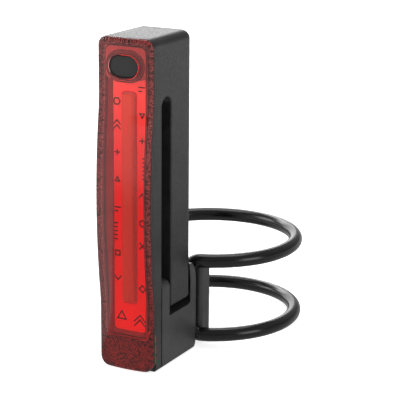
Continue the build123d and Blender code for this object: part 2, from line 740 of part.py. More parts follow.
def strap_half_path():
    """Centre line of half the strap: upper ring, side channel, lower ring, each run tangent to the next."""
    start, end = SHOULDER_START, SHOULDER_END
    centre = (SHOULDER_OFFSET * math.sin(start), POST_AXIS_DEPTH - SHOULDER_OFFSET * math.cos(start))

    def ring(angle, height):
        return (RING_RADIUS * math.sin(angle), POST_AXIS_DEPTH - RING_RADIUS * math.cos(angle), height)

    def shoulder(angle, height):
        return (
            centre[0] + SHOULDER_RADIUS * math.sin(angle),
            centre[1] - SHOULDER_RADIUS * math.cos(angle),
            height,
        )

    def bend(angle, height, side):
        x, y, _ = shoulder(end, height)
        run = CORD_BEND_RADIUS * math.sin(angle)
        drop = CORD_BEND_RADIUS * (1 - math.cos(angle))
        return (x - run * math.cos(end), y - run * math.sin(end), height + side * drop)

    edges = []
    for height, side in ((UPPER_RING_HEIGHT, -1), (LOWER_RING_HEIGHT, 1)):
        part = [
            ThreePointArc(
                ring(math.pi, height), ring((math.pi + start) / 2, height), ring(start, height)
            ),
            ThreePointArc(
                shoulder(start, height), shoulder((start + end) / 2, height), shoulder(end, height)
            ),
            ThreePointArc(
                bend(0, height, side), bend(math.pi / 4, height, side), bend(math.pi / 2, height, side)
            ),
        ]
        edges.append(part)
    upright = Line(
        bend(math.pi / 2, UPPER_RING_HEIGHT, -1), bend(math.pi / 2, LOWER_RING_HEIGHT, 1)
    )
    return Wire([*edges[0], upright, *reversed(edges[1])])


def strap_solid(radius):
    """Closed loop of round cord: one half swept and mirrored."""
    start = (0, POST_AXIS_DEPTH + RING_RADIUS, UPPER_RING_HEIGHT)
    section = Plane(origin=start, z_dir=(1, 0, 0)) * Circle(radius)
    half = sweep(section, path=strap_half_path())
    return half + mirror(half, about=Plane.YZ)


def make_strap():
    """Moulded rubber loop with two rings round the post."""
    return strap_solid(CORD_RADIUS)


def tongue():
    """Front of the mount, which stands in the light's slot."""
    height = TONGUE_HEIGHT
    face = Pos(0, height / 2) * Rectangle(LIGHT_WIDTH, height)
    face = fillet(face.vertices().sort_by(Axis.Y)[-2:], TONGUE_EDGE_RADIUS)
    plane = Plane(origin=(0, TONGUE_BACK, 0), x_dir=(1, 0, 0), z_dir=(0, -1, 0))
    return extrude(plane * face, amount=TONGUE_BACK - TONGUE_FRONT)


def mount_wall():
    """Floor and rear wall of the mount before the pocket is cut, with the curved lip."""
    radius = (LIP_LEAN**2 + LIP_HEIGHT**2) / (2 * LIP_LEAN)
    turn = math.degrees(math.asin(LIP_HEIGHT / radius))
    tip = WALL_BACK - LIP_LEAN
    inner = SLOT_REAR + REAR_LEG_DEPTH / 2
    edges = [
        line_yz((TONGUE_FRONT, 0), (TONGUE_FRONT, POCKET_FLOOR)),
        line_yz((TONGUE_FRONT, POCKET_FLOOR), (inner, POCKET_FLOOR)),
        line_yz((inner, POCKET_FLOOR), (inner, LIP_TOP)),
        line_yz((inner, LIP_TOP), (tip, LIP_TOP)),
        arc_yz(WALL_BACK - radius, LIP_START, radius, turn, 0),
        line_yz((WALL_BACK, LIP_START), (WALL_BACK, BASE_REAR_RADIUS)),
        arc_yz(WALL_BACK - BASE_REAR_RADIUS, BASE_REAR_RADIUS, BASE_REAR_RADIUS, 0, -90),
        line_yz((WALL_BACK - BASE_REAR_RADIUS, 0), (TONGUE_FRONT, 0)),
    ]
    tips = block(HALF_WIDTH + OVERRUN, tip - OVERRUN, WALL_BACK + OVERRUN, LIP_TOP - LIP_BLUNT, LIP_TOP + OVERRUN)
    return side_solid(edges) - tips


def pocket():
    """Room for the rear leg: wide below the lip, close to the leg at the lip's tip."""
    top = LIP_TOP + OVERRUN
    back = LIGHT_DEPTH + POCKET_CLEARANCE
    radius = POCKET_CORNER_RADIUS
    side = [
        line_yz((TONGUE_BACK, POCKET_FLOOR), (back - radius, POCKET_FLOOR)),
        arc_yz(back - radius, POCKET_FLOOR + radius, radius, -90, 0),
        line_yz((back, POCKET_FLOOR + radius), (back, LIP_START)),
        line_yz((back, LIP_START), (TONGUE_BACK, LIP_START)),
        line_yz((TONGUE_BACK, LIP_START), (TONGUE_BACK, POCKET_FLOOR)),
    ]
    low = side_solid(side, HALF_WIDTH + OVERRUN)
    low &= leg_plan(POCKET_CLEARANCE, POCKET_FLOOR, LIP_START, TONGUE_BACK)
    wide = leg_plan(POCKET_CLEARANCE, LIP_START, top, TONGUE_BACK).faces().sort_by(Axis.Z)[0]
    close = leg_plan(POCKET_LIP_CLEARANCE, LIP_TOP, top, TONGUE_BACK).faces().sort_by(Axis.Z)[0]
    lip = loft([wide, close])
    above = leg_plan(POCKET_LIP_CLEARANCE, LIP_TOP, top, TONGUE_BACK)
    return low + lip + above


def saddle():
    """Rear part of the mount: a stem and a cross plate hollowed for the post."""
    plate = block(HALF_WIDTH, SADDLE_FRONT, SADDLE_BACK, SADDLE_BOTTOM, SADDLE_TOP)
    plate = fillet(plate.faces().sort_by(Axis.Y)[0].edges().filter_by(Axis.Z), SADDLE_FRONT_RADIUS)
    plate -= hollow_bar(0)
    front = WALL_BACK - MOUNT_WALL / 2
    stem = block(STEM_WIDTH / 2, front, SADDLE_FRONT + MOUNT_WALL, SADDLE_BOTTOM, LIP_START)
    return plate + stem


def hollow_axis():
    """Depth of the axis of the saddle's hollow, which meets the plate's rear corners."""
    return SADDLE_BACK + math.sqrt(SADDLE_HOLLOW_RADIUS**2 - HALF_WIDTH**2)


def hollow_bar(grow):
    """Upright round bar in the saddle's hollow, grown outwards by a depth."""
    centre = Pos(0, hollow_axis(), SADDLE_MID_Z)
    return centre * Cylinder(SADDLE_HOLLOW_RADIUS + grow, SADDLE_TOP - SADDLE_BOTTOM + 2 * OVERRUN)


def saddle_pad_bar(clearance):
    """Front-view outline of the saddle pad as a bar along Y."""
    return rounded_slab(
        SADDLE_PAD_WIDTH / 2 + clearance,
        SADDLE_MID_Z - SADDLE_PAD_LENGTH / 2 - clearance,
        SADDLE_MID_Z + SADDLE_PAD_LENGTH / 2 + clearance,
        SADDLE_FRONT,
        SADDLE_BACK + OVERRUN,
        SADDLE_PAD_CORNER + clearance,
    )


def make_saddle_pad():
    """Rubber pad in the saddle, a little proud of the plate."""
    sunk = SADDLE_PAD_THICKNESS - PAD_PROUD
    return (saddle_pad_bar(0) & hollow_bar(sunk - KEEPER_FIT)) - hollow_bar(-PAD_PROUD)


def make_keeper_plate():
    """Steel plate in the back of the tongue, facing the magnet."""
    middle = CAP_PLUG_TOP + MAGNET_FIT + MAGNET_HEIGHT / 2
    back = TONGUE_BACK - KEEPER_FIT
    return block(
        KEEPER_WIDTH / 2,
        back - KEEPER_THICKNESS,
        back,
        middle - KEEPER_HEIGHT / 2,
        middle + KEEPER_HEIGHT / 2,
    )


def make_rest_pad():
    """Rubber pad on the pocket's floor that the rear leg rests on."""
    middle = (SLOT_REAR + LIGHT_DEPTH) / 2
    return cavity_plan(
        REST_PAD_WIDTH / 2,
        middle - REST_PAD_DEPTH / 2,
        middle + REST_PAD_DEPTH / 2,
        POCKET_FLOOR,
        REAR_LEG_END - REST_PAD_GAP,
        REST_PAD_CORNER,
    )


def make_mount_cradle():
    """Bracket between the light and the post, cut for pocket, cord, keeper and pad."""
    body = tongue() + mount_wall()
    body -= pocket()
    body += saddle()
    body &= front_outline(0, SADDLE_BACK + OVERRUN)
    body -= strap_solid(CORD_RADIUS + GROOVE_CLEARANCE)
    middle = CAP_PLUG_TOP + MAGNET_FIT + MAGNET_HEIGHT / 2
    body -= block(
        KEEPER_WIDTH / 2 + KEEPER_FIT,
        TONGUE_BACK - 2 * KEEPER_FIT - KEEPER_THICKNESS,
        TONGUE_BACK + OVERRUN,
        middle - KEEPER_HEIGHT / 2 - KEEPER_FIT,
        middle + KEEPER_HEIGHT / 2 + KEEPER_FIT,
    )
    return body - (saddle_pad_bar(KEEPER_FIT) & hollow_bar(SADDLE_PAD_THICKNESS - PAD_PROUD))


PIECES = {
    "housing": make_housing,
    "lens": make_lens,
    "lens_gasket": make_lens_gasket,
    "button_bezel": make_button_bezel,
    "button_cap": make_button_cap,
    "switch_plunger": make_switch_plunger,
    "tact_switch": make_tact_switch,
    "led_board": make_led_board,
    "led_strip": make_led_strip,
    "reflector_film": make_reflector_film,
    "led_flex": make_led_flex,
    "main_board": make_main_board,
    "board_chips": make_board_chips,
    "battery_cell": make_battery_cell,
    "battery_pad": make_battery_pad,
    "battery_leads": make_battery_leads,
    "charge_flex": make_charge_flex,
    "charge_board": make_charge_board,
    "socket_shell": make_socket_shell,
    "socket_tongue": make_socket_tongue,
    "end_cap": make_end_cap,
    "cap_gasket": make_cap_gasket,
    "latch_magnet": make_latch_magnet,
    "mount_cradle": make_mount_cradle,
    "keeper_plate": make_keeper_plate,
    "rest_pad": make_rest_pad,
    "saddle_pad": make_saddle_pad,
    "strap": make_strap,
}

os.makedirs("parts", exist_ok=True)
for name, make in PIECES.items():
    export_step(Pos(0, -POST_AXIS_DEPTH, 0) * make(), f"parts/{name}.step")
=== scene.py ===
"""Bicycle rear light on its elastic seat-post strap, dressed for a studio picture.

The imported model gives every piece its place. The pieces that show are made again here with rounded
edges, smooth curves and detailed finishes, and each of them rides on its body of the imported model.
All lengths are millimetres in the fields of the classes, and become metres where a mesh is made.
X runs to the light's right, Z up, and Y from the front of the light back to the post.
"""

from __future__ import annotations

import json
import logging
import math
from dataclasses import dataclass, field
from enum import Enum
from typing import Callable

import bmesh
import bpy
from mathutils import Matrix, Vector

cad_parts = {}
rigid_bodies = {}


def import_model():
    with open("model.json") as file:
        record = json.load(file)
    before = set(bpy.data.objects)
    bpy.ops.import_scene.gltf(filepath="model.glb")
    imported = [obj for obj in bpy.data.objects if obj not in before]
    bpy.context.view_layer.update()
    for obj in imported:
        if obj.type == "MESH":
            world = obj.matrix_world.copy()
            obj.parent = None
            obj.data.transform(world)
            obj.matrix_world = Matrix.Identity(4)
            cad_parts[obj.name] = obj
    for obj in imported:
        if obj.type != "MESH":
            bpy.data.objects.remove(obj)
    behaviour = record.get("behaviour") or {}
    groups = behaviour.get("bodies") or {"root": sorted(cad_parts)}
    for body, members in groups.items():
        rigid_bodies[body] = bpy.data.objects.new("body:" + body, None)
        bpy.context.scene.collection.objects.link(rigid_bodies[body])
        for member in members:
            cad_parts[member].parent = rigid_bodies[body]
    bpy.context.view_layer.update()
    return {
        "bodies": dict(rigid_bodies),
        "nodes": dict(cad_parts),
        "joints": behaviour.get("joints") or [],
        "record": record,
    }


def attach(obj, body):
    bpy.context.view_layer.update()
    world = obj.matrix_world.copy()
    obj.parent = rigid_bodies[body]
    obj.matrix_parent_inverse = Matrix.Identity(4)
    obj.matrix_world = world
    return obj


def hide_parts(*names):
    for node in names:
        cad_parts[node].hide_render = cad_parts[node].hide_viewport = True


LOG = logging.getLogger("rear_light")
MM = 0.001
WHITE = (1.0, 1.0, 1.0, 1.0)
# How strong each finer layer of a grain is, next to the one before.
GRAIN_FADE = 0.6
# A grain's values crowd round a half, and two of them added round 1, so this part is used.
GRAIN_SPAN = (0.3, 0.7)
TWO_GRAINS_SPAN = (0.7, 1.3)
# Corners closer than this are one corner.
MERGE_MM = 0.0002
# Height of the key's middle.
KEY_Z = 64.2
# Smallest radius that a corner of a shrunk outline keeps.
LEAST_RADIUS = 0.01
# Corners of the round section of a thin line.
LINE_SIDES = 8
# Edges of flat pieces, and of pieces with softly rounded edges, stay sharp past these turns.
FLAT_SHARP_DEG = 10.0
SOFT_SHARP_DEG = 50.0
Flat = tuple[float, float]
Point = tuple[float, float, float]
Face = tuple[int, ...]
Depth = Callable[[float, float], float]


class Body(Enum):
    """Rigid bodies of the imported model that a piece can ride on."""

    MOUNT = "strap_mount"
    LIGHT = "light"
    BUTTON = "button"


def linear(code: str) -> tuple[float, float, float, float]:
    """Turns an sRGB hex code into linear colour.

    Args:
        code: six hex digits after a hash.

    Returns:
        Linear red, green and blue, and an alpha of 1.
    """
    channels = [int(code[i : i + 2], 16) / 255 for i in (1, 3, 5)]
    r, g, b = (c / 12.92 if c <= 0.04045 else ((c + 0.055) / 1.055) ** 2.4 for c in channels)
    return r, g, b, 1.0


def add_node(
    tree: bpy.types.NodeTree, kind: str, links: dict | None = None, **settings: object
) -> bpy.types.Node:
    """Adds a node with its settings and its input values or links.

    Args:
        tree: the node tree.
        kind: Blender's name of the node type.
        links: input name or index, with a value, the output socket that feeds it, or a node
            whose first output does.
        settings: attributes of the node.

    Returns:
        The new node.
    """
    node = tree.nodes.new(kind)
    for name, value in settings.items():
        setattr(node, name, value)
    for name, value in (links or {}).items():
        source = value.outputs[0] if isinstance(value, bpy.types.Node) else value
        if isinstance(source, bpy.types.NodeSocket):
            tree.links.new(source, node.inputs[name])
        else:
            node.inputs[name].default_value = source
    return node


def fresh_tree(owner: bpy.types.Material | bpy.types.World) -> bpy.types.NodeTree:
    """Switches on an owner's node tree and empties it.

    Args:
        owner: a material or a world.

    Returns:
        Its empty tree.
    """
    owner.use_nodes = True
    owner.node_tree.nodes.clear()
    return owner.node_tree


def add_object(name: str, data: bpy.types.ID) -> bpy.types.Object:
    """Adds an object to the scene.

    Args:
        name: its name.
        data: its mesh, lamp or camera.

    Returns:
        The object.
    """
    obj = bpy.data.objects.new(name, data)
    bpy.context.scene.collection.objects.link(obj)
    return obj


@dataclass(frozen=True)
class Finish:
    """A moulded or coated surface: two close colours, its shine and the grain of its skin."""

    name: str
    colour: str
    second_colour: str
    roughness: float = 0.5
    roughness_spread: float = 0.08
    metallic: float = 0.0
    ior: float = 1.5
    grain_mm: float = 0.2
    relief_mm: float = 0.01
    mottle_mm: float = 6.0
    # Strength of a painted glow, for parts that glow though they are no lamp.
    painted_glow: float = 0.0
    grain_shine: bool = False

    def grain(
        self, tree: bpy.types.NodeTree, size_mm: float, detail: float = 2.0
    ) -> bpy.types.NodeSocket:
        """Adds a noise pattern on the object's own coordinates.

        Args:
            tree: the material's node tree.
            size_mm: size of one grain.
            detail: number of finer layers.

        Returns:
            The pattern's output socket, from 0 to 1.
        """
        place = add_node(tree, "ShaderNodeTexCoord").outputs["Object"]
        values = {"Vector": place, "Scale": 1 / (size_mm * MM), "Detail": detail}
        values["Roughness"] = GRAIN_FADE
        return add_node(tree, "ShaderNodeTexNoise", values).outputs["Fac"]

    def tone(self, tree: bpy.types.NodeTree) -> bpy.types.NodeSocket:
        """Adds the colour, which wanders between the two colours by grain and by mottle.

        Args:
            tree: the material's node tree.

        Returns:
            The colour's output socket.
        """
        fine = self.grain(tree, self.grain_mm)
        broad = self.grain(tree, self.mottle_mm)
        both = add_node(tree, "ShaderNodeMath", {0: fine, 1: broad}, operation="ADD")
        low, high = TWO_GRAINS_SPAN
        span = {"Value": both, "From Min": low, "From Max": high}
        spread = add_node(tree, "ShaderNodeMapRange", span)
        ends = {0: spread, 6: linear(self.colour), 7: linear(self.second_colour)}
        return add_node(tree, "ShaderNodeMix", ends, data_type="RGBA").outputs[2]

    def relief(self, tree: bpy.types.NodeTree) -> bpy.types.NodeSocket:
        """Adds the bumps of the skin.

        Args:
            tree: the material's node tree.

        Returns:
            The normal's output socket.
        """
        height = self.grain(tree, self.grain_mm)
        values = {"Height": height, "Distance": self.relief_mm * MM, "Strength": 1.0}
        return add_node(tree, "ShaderNodeBump", values).outputs["Normal"]

    def shader(self, tree: bpy.types.NodeTree) -> bpy.types.Node:
        """Adds the surface shader with its colour, roughness and relief.

        Args:
            tree: the material's node tree.

        Returns:
            The shader node.
        """
        tone = self.tone(tree)
        wander = self.grain(tree, self.grain_mm if self.grain_shine else self.mottle_mm / 2)
        span = {
            "Value": wander,
            "From Min": GRAIN_SPAN[0],
            "From Max": GRAIN_SPAN[1],
            "To Min": self.roughness - self.roughness_spread,
            "To Max": self.roughness + self.roughness_spread,
        }
        values = {
            "Base Color": tone,
            "Roughness": add_node(tree, "ShaderNodeMapRange", span),
            "Normal": self.relief(tree),
            "Metallic": self.metallic,
            "IOR": self.ior,
        }
        # Painted glow: the surface gives out light in its own colour.
        if self.painted_glow:
            values |= {"Emission Color": tone, "Emission Strength": self.painted_glow}
        return add_node(tree, "ShaderNodeBsdfPrincipled", values)

    def material(self) -> bpy.types.Material:
        """Builds the material once.

        Returns:
            The material, or the one already built.
        """
        known = bpy.data.materials.get(self.name)
        if known:
            return known
        material = bpy.data.materials.new(self.name)
        tree = fresh_tree(material)
        add_node(tree, "ShaderNodeOutputMaterial", {"Surface": self.shader(tree)})
        return material


@dataclass(frozen=True)
class ClearFinish(Finish):
    """Clear coloured acrylic: it bends what is seen through it, and lamps reach what is behind."""

    lamp_tint: str = "#ffd8d6"
    mirror: float = 0.36

    def shader(self, tree: bpy.types.NodeTree) -> bpy.types.Node:
        """Adds clear acrylic that lamps shine through.

        Args:
            tree: the material's node tree.

        Returns:
            The mixing node.
        """
        values = {
            "Base Color": linear(self.colour),
            "Roughness": self.roughness,
            "Normal": self.relief(tree),
            "IOR": self.ior,
            "Specular IOR Level": self.mirror,
            "Transmission Weight": 1.0,
        }
        solid = add_node(tree, "ShaderNodeBsdfPrincipled", values)
        open_way = add_node(tree, "ShaderNodeBsdfTransparent", {"Color": linear(self.lamp_tint)})
        lamp_ray = add_node(tree, "ShaderNodeLightPath").outputs["Is Shadow Ray"]
        return add_node(tree, "ShaderNodeMixShader", {0: lamp_ray, 1: solid, 2: open_way})


@dataclass(frozen=True)
class GradedFinish(Finish):
    """Surface whose colour changes evenly from one height to another."""

    low_mm: float = 8.0
    high_mm: float = 61.0

    def climb(self, tree: bpy.types.NodeTree, low: str, high: str) -> bpy.types.NodeSocket:
        """Adds a colour that goes from one to another between the two heights.

        Args:
            tree: the material's node tree.
            low: hex code of the colour at the lower height.
            high: hex code of the colour at the upper height.

        Returns:
            The colour's output socket.
        """
        place = add_node(tree, "ShaderNodeTexCoord").outputs["Object"]
        height = add_node(tree, "ShaderNodeSeparateXYZ", {0: place}).outputs["Z"]
        span = {"Value": height, "From Min": self.low_mm * MM, "From Max": self.high_mm * MM}
        rise = add_node(tree, "ShaderNodeMapRange", span)
        ends = {0: rise, 6: linear(low), 7: linear(high)}
        return add_node(tree, "ShaderNodeMix", ends, data_type="RGBA").outputs[2]

    def tone(self, tree: bpy.types.NodeTree) -> bpy.types.NodeSocket:
        """Adds the first colour at the low end and the second at the high end."""
        return self.climb(tree, self.colour, self.second_colour)


@dataclass(frozen=True)
class SpeckledFinish(GradedFinish):
    """Textured surface with raised specks, which go from their low to their second colour."""

    low_mm: float = 5.0
    high_mm: float = 30.0
    low_colour: str = "#9a2e26"
    speck_level: float = 0.5
    speck_edge: float = 0.06

    def tone(self, tree: bpy.types.NodeTree) -> bpy.types.NodeSocket:
        """Adds the ground colour and its specks.

        Args:
            tree: the material's node tree.

        Returns:
            The colour's output socket.
        """
        low, high = self.speck_level - self.speck_edge, self.speck_level + self.speck_edge
        pattern = self.grain(tree, self.grain_mm, detail=3.0)
        span = {"Value": pattern, "From Min": low, "From Max": high}
        specks = add_node(tree, "ShaderNodeMapRange", span)
        raised = self.climb(tree, self.low_colour, self.second_colour)
        ends = {0: specks, 6: linear(self.colour), 7: raised}
        return add_node(tree, "ShaderNodeMix", ends, data_type="RGBA").outputs[2]


# Glass-filled nylon from a spark-eroded mould: a dry black skin whose grain breaks up the shine.
# The real grain is about 0.05 mm, too fine to show, so it is drawn at 0.3 mm.
HOUSING_NYLON = Finish(
    "spark_grained_nylon_black",
    "#101011",
    "#242425",
    0.42,
    0.14,
    grain_mm=0.3,
    relief_mm=0.06,
    grain_shine=True,
)
# The same nylon from another mould: a little greyer and shallower in its grain, drawn as coarse.
MOUNT_NYLON = Finish(
    "spark_grained_nylon_mount",
    "#242424",
    "#3a3a3b",
    0.44,
    0.12,
    grain_mm=0.3,
    relief_mm=0.05,
    grain_shine=True,
)
# Silicone cord from a polished tool: darker and shinier than the nylon, with a long soft highlight.
STRAP_SILICONE = Finish(
    "polished_silicone_cord",
    "#080808",
    "#0d0d0e",
    0.2,
    0.03,
    ior=1.43,
    grain_mm=2.5,
    relief_mm=0.003,
)
# Pressed rubber with a dusty skin: a flat black with hardly a highlight.
PAD_RUBBER = Finish(
    "moulded_rubber_pad", "#131313", "#1b1b1b", 0.75, grain_mm=0.3, relief_mm=0.015
)
# Moulded silicone seal: dark grey with a soft sheen along its edge.
GASKET_RUBBER = Finish(
    "silicone_seal", "#202021", "#29292a", 0.6, 0.06, grain_mm=0.25, relief_mm=0.006
)
# Overmoulded elastomer with a fine matte texture: an even dark grey with no highlight.
BUTTON_ELASTOMER = Finish("matte_elastomer_key", "#191919", "#212121", 0.5, 0.04, grain_mm=0.15)
# Injection-moulded clear red acrylic, polished in front: sharp reflections over a deep red.
LENS_ACRYLIC = ClearFinish(
    "clear_red_acrylic", "#fa9c98", "#fa9c98", 0.03, ior=1.4, grain_mm=2.5, relief_mm=0.0015
)
# Back of the cover's rim, spark-textured where it is welded on: dark with fine red specks.
# The real specks are about 0.1 mm. They are drawn at 0.26 mm so that they show.
RIM_TEXTURE = SpeckledFinish(
    "textured_weld_rim",
    "#380c0c",
    "#b87876",
    0.6,
    0.1,
    grain_mm=0.26,
    relief_mm=0.02,
    speck_edge=0.05,
)
# Side walls of the cover, spark-textured like the housing: as dark as the nylon, few red specks.
# The specks are drawn as coarse as the housing's grain.
SIDE_TEXTURE = SpeckledFinish(
    "textured_side_wall",
    "#171515",
    "#8a2c2c",
    0.42,
    0.14,
    grain_mm=0.3,
    relief_mm=0.06,
    grain_shine=True,
    speck_level=0.66,
    low_colour="#8a2c2c",
)
# Flash of melted acrylic along the ultrasonic weld: small dark red beads that catch the light.
WELD_BEADS = Finish("weld_flash", "#7a2020", "#943030", 0.4, 0.05, grain_mm=0.3, relief_mm=0.004)
# Painted highlight: thin bright red lines that glow along the cover's polished acrylic edges where
# they catch the light.
PAINTED_EDGE_HIGHLIGHT = Finish(
    "painted_edge_highlight", "#e83028", "#f03c34", 0.4, 0.05, grain_mm=0.3, relief_mm=0.002, painted_glow=0.25
)
# Moulded glossy wall between the cover and the film: a dull red with a sheen along its slope.
FRAME_WALL = Finish(
    "glossy_light_frame", "#8c3030", "#983a3a", 0.16, 0.04, ior=1.6, grain_mm=2.0, relief_mm=0.002
)
# Metallised polyester film under a diffuser: a bright red that pales towards its top. The paler top
# is painted light from above, and its glow is a painted glow, for the film is no lamp.
FILM_PAINTED_GLOW = GradedFinish(
    "reflector_film_painted_glow",
    "#d81411",
    "#f07874",
    0.45,
    0.04,
    grain_mm=2.5,
    relief_mm=0.002,
    painted_glow=0.55,
    low_mm=38.0,
)
# Screen-printed ink: thin dark lines without shine.
PRINT_INK = Finish(
    "screen_printed_ink", "#3a1414", "#451a1a", 0.6, 0.05, grain_mm=0.4, relief_mm=0.002
)
# Moulded plate with a frosted face: a pale greyish rose behind the cover's collar.
BEZEL_PLATE = Finish(
    "tinted_bezel_plate", "#c29c9c", "#caa4a4", 0.5, 0.05, grain_mm=0.5, relief_mm=0.003
)
# Painted shade: grey sheets that stand in for the shade in the collar's grooves, as narrow dull
# rings round the key, and in the gap inside the key's hole.
PAINTED_SHADE_GREY = Finish(
    "painted_shade_grey", "#5e5a5a", "#666262", 0.5, 0.05, grain_mm=0.4, relief_mm=0.003
)
# Silicone gel with phosphor over a row of lamp dies: warm and milky where the cover shows it. It has
# a faint painted glow, and its paler top is painted light from above, as on the film.
BAR_GEL_PAINTED_GLOW = GradedFinish(
    "phosphor_gel_painted_glow",
    "#c85e40",
    "#e08a6c",
    0.4,
    0.05,
    grain_mm=1.0,
    relief_mm=0.004,
    painted_glow=0.2,
    low_mm=35.0,
)
# Dispensed silicone dam that holds the gel: a fine red line with a soft sheen.
SEAT_LINE = Finish("clear_gel_dam", "#e03028", "#e83830", 0.3, 0.04, grain_mm=1.0, relief_mm=0.002)
# White solder mask over glass epoxy: smooth satin white under the lamps.
BOARD_WHITE = Finish(
    "white_solder_mask", "#d8d8d2", "#e2e2dc", 0.4, 0.05, grain_mm=0.6, relief_mm=0.004
)
# Green solder mask over glass epoxy: satin dark green.
BOARD_GREEN = Finish(
    "green_solder_mask", "#0d3d1c", "#124a24", 0.35, 0.05, grain_mm=0.6, relief_mm=0.006
)
# Transfer-moulded epoxy: near black and matte.
CHIP_EPOXY = Finish("chip_epoxy", "#161616", "#1e1e1e", 0.6, 0.06, grain_mm=0.12, relief_mm=0.004)
# Laminated polyimide over copper: glossy amber.
FLEX_POLYIMIDE = Finish(
    "polyimide_flex", "#a8641c", "#b06c22", 0.35, 0.05, grain_mm=0.8, relief_mm=0.003
)
# Deep-drawn aluminium laminate: bright metal with soft creases in its shine.
CELL_FOIL = Finish("pouch_foil", "#b8babd", "#c4c6c9", 0.32, metallic=1.0, grain_mm=1.2)
# Cut closed-cell foam: pitted grey without shine.
FOAM_GREY = Finish("cell_foam", "#4a4a4d", "#5c5c60", 0.9, 0.05, grain_mm=0.3, relief_mm=0.05)
# Extruded PVC over stranded copper: smooth black sleeves that wander to red.
WIRE_PVC = Finish("wire_insulation", "#1a1a1a", "#8c1414", 0.4, 0.04, grain_mm=4.0, relief_mm=0.002)
# Stamped and tumbled steel: a grey metal with blurred reflections.
STEEL = Finish(
    "stamped_steel", "#b4b4b6", "#c2c2c4", 0.3, metallic=1.0, grain_mm=0.15, relief_mm=0.003
)
# Nickel plated over a sintered magnet: a warmer and shinier metal.
NICKEL = Finish(
    "nickel_plate", "#c8c4ba", "#d0ccc2", 0.22, 0.05, metallic=1.0, grain_mm=0.5, relief_mm=0.002
)
# Liquid crystal polymer moulded in a polished tool: hard satin black.
TONGUE_LCP = Finish(
    "socket_insulator", "#141414", "#1a1a1a", 0.5, 0.05, grain_mm=0.3, relief_mm=0.003
)

NODE_FINISHES: dict[str, Finish] = {
    "mount_cradle": MOUNT_NYLON,
    "keeper_plate": STEEL,
    "rest_pad": PAD_RUBBER,
    "saddle_pad": PAD_RUBBER,
    "strap": STRAP_SILICONE,
    "housing": HOUSING_NYLON,
    "end_cap": HOUSING_NYLON,
    "cap_gasket": GASKET_RUBBER,
    "lens": LENS_ACRYLIC,
    "lens_gasket": GASKET_RUBBER,
    "button_bezel": BEZEL_PLATE,
    "tact_switch": CHIP_EPOXY,
    "led_board": BOARD_WHITE,
    "led_strip": BAR_GEL_PAINTED_GLOW,
    "reflector_film": FILM_PAINTED_GLOW,
    "led_flex": FLEX_POLYIMIDE,
    "main_board": BOARD_GREEN,
    "board_chips": CHIP_EPOXY,
    "battery_leads": WIRE_PVC,
    "battery_cell": CELL_FOIL,
    "battery_pad": FOAM_GREY,
    "charge_flex": FLEX_POLYIMIDE,
    "charge_board": BOARD_GREEN,
    "socket_shell": STEEL,
    "socket_tongue": TONGUE_LCP,
    "latch_magnet": NICKEL,
    "button_cap": BUTTON_ELASTOMER,
    "switch_plunger": TONGUE_LCP,
}


@dataclass(frozen=True)
class PhotoCamera:
    """Camera that stands where the photograph was taken, measured from the light's own edges."""

    azimuth_deg: float = 28.0
    elevation_deg: float = 15.009
    roll_deg: float = 0.445
    distance_mm: float = 322.639
    focal_px: float = 1532.251
    picture_px: float = 400.0
    sensor_mm: float = 36.0
    aim_right_mm: float = 14.563
    aim_up_mm: float = 35.231
    seam_depth_mm: float = -36.96
    clip_start_m: float = 0.01
    clip_end_m: float = 20.0

    def place(self) -> None:
        """Adds the camera and makes it the scene's own."""
        azimuth, elevation = math.radians(self.azimuth_deg), math.radians(self.elevation_deg)
        right = Vector((math.cos(azimuth), math.sin(azimuth), 0))
        level = math.cos(elevation)
        back = Vector((math.sin(azimuth) * level, -math.cos(azimuth) * level, math.sin(elevation)))
        up = back.cross(right)
        spot = right * self.aim_right_mm + up * self.aim_up_mm + back * self.distance_mm
        spot.y += self.seam_depth_mm
        roll = math.radians(self.roll_deg)
        turned_right = right * math.cos(roll) + up * math.sin(roll)
        turned_up = up * math.cos(roll) - right * math.sin(roll)
        data = bpy.data.cameras.new("photo_camera")
        data.sensor_width = self.sensor_mm
        data.lens = self.focal_px * self.sensor_mm / self.picture_px
        data.clip_start, data.clip_end = self.clip_start_m, self.clip_end_m
        camera = add_object("photo_camera", data)
        axes = Matrix((turned_right, turned_up, back)).transposed()
        camera.matrix_world = Matrix.Translation(spot * MM) @ axes.to_4x4()
        bpy.context.scene.camera = camera


@dataclass(frozen=True)
class Lamp:
    """Soft rectangular lamp: its centre, its width and height, and its power."""

    name: str
    centre: Point
    size: Flat
    watts: float

    def build(self, target: Point) -> None:
        """Adds the lamp.

        Args:
            target: the point that it faces.
        """
        data = bpy.data.lights.new(self.name, "AREA")
        data.shape = "RECTANGLE"
        data.size, data.size_y = self.size[0] * MM, self.size[1] * MM
        data.energy = self.watts
        spot = Vector(self.centre)
        turn = (Vector(target) - spot).to_track_quat("-Z", "Y").to_matrix().to_4x4()
        add_object(self.name, data).matrix_world = Matrix.Translation(spot * MM) @ turn


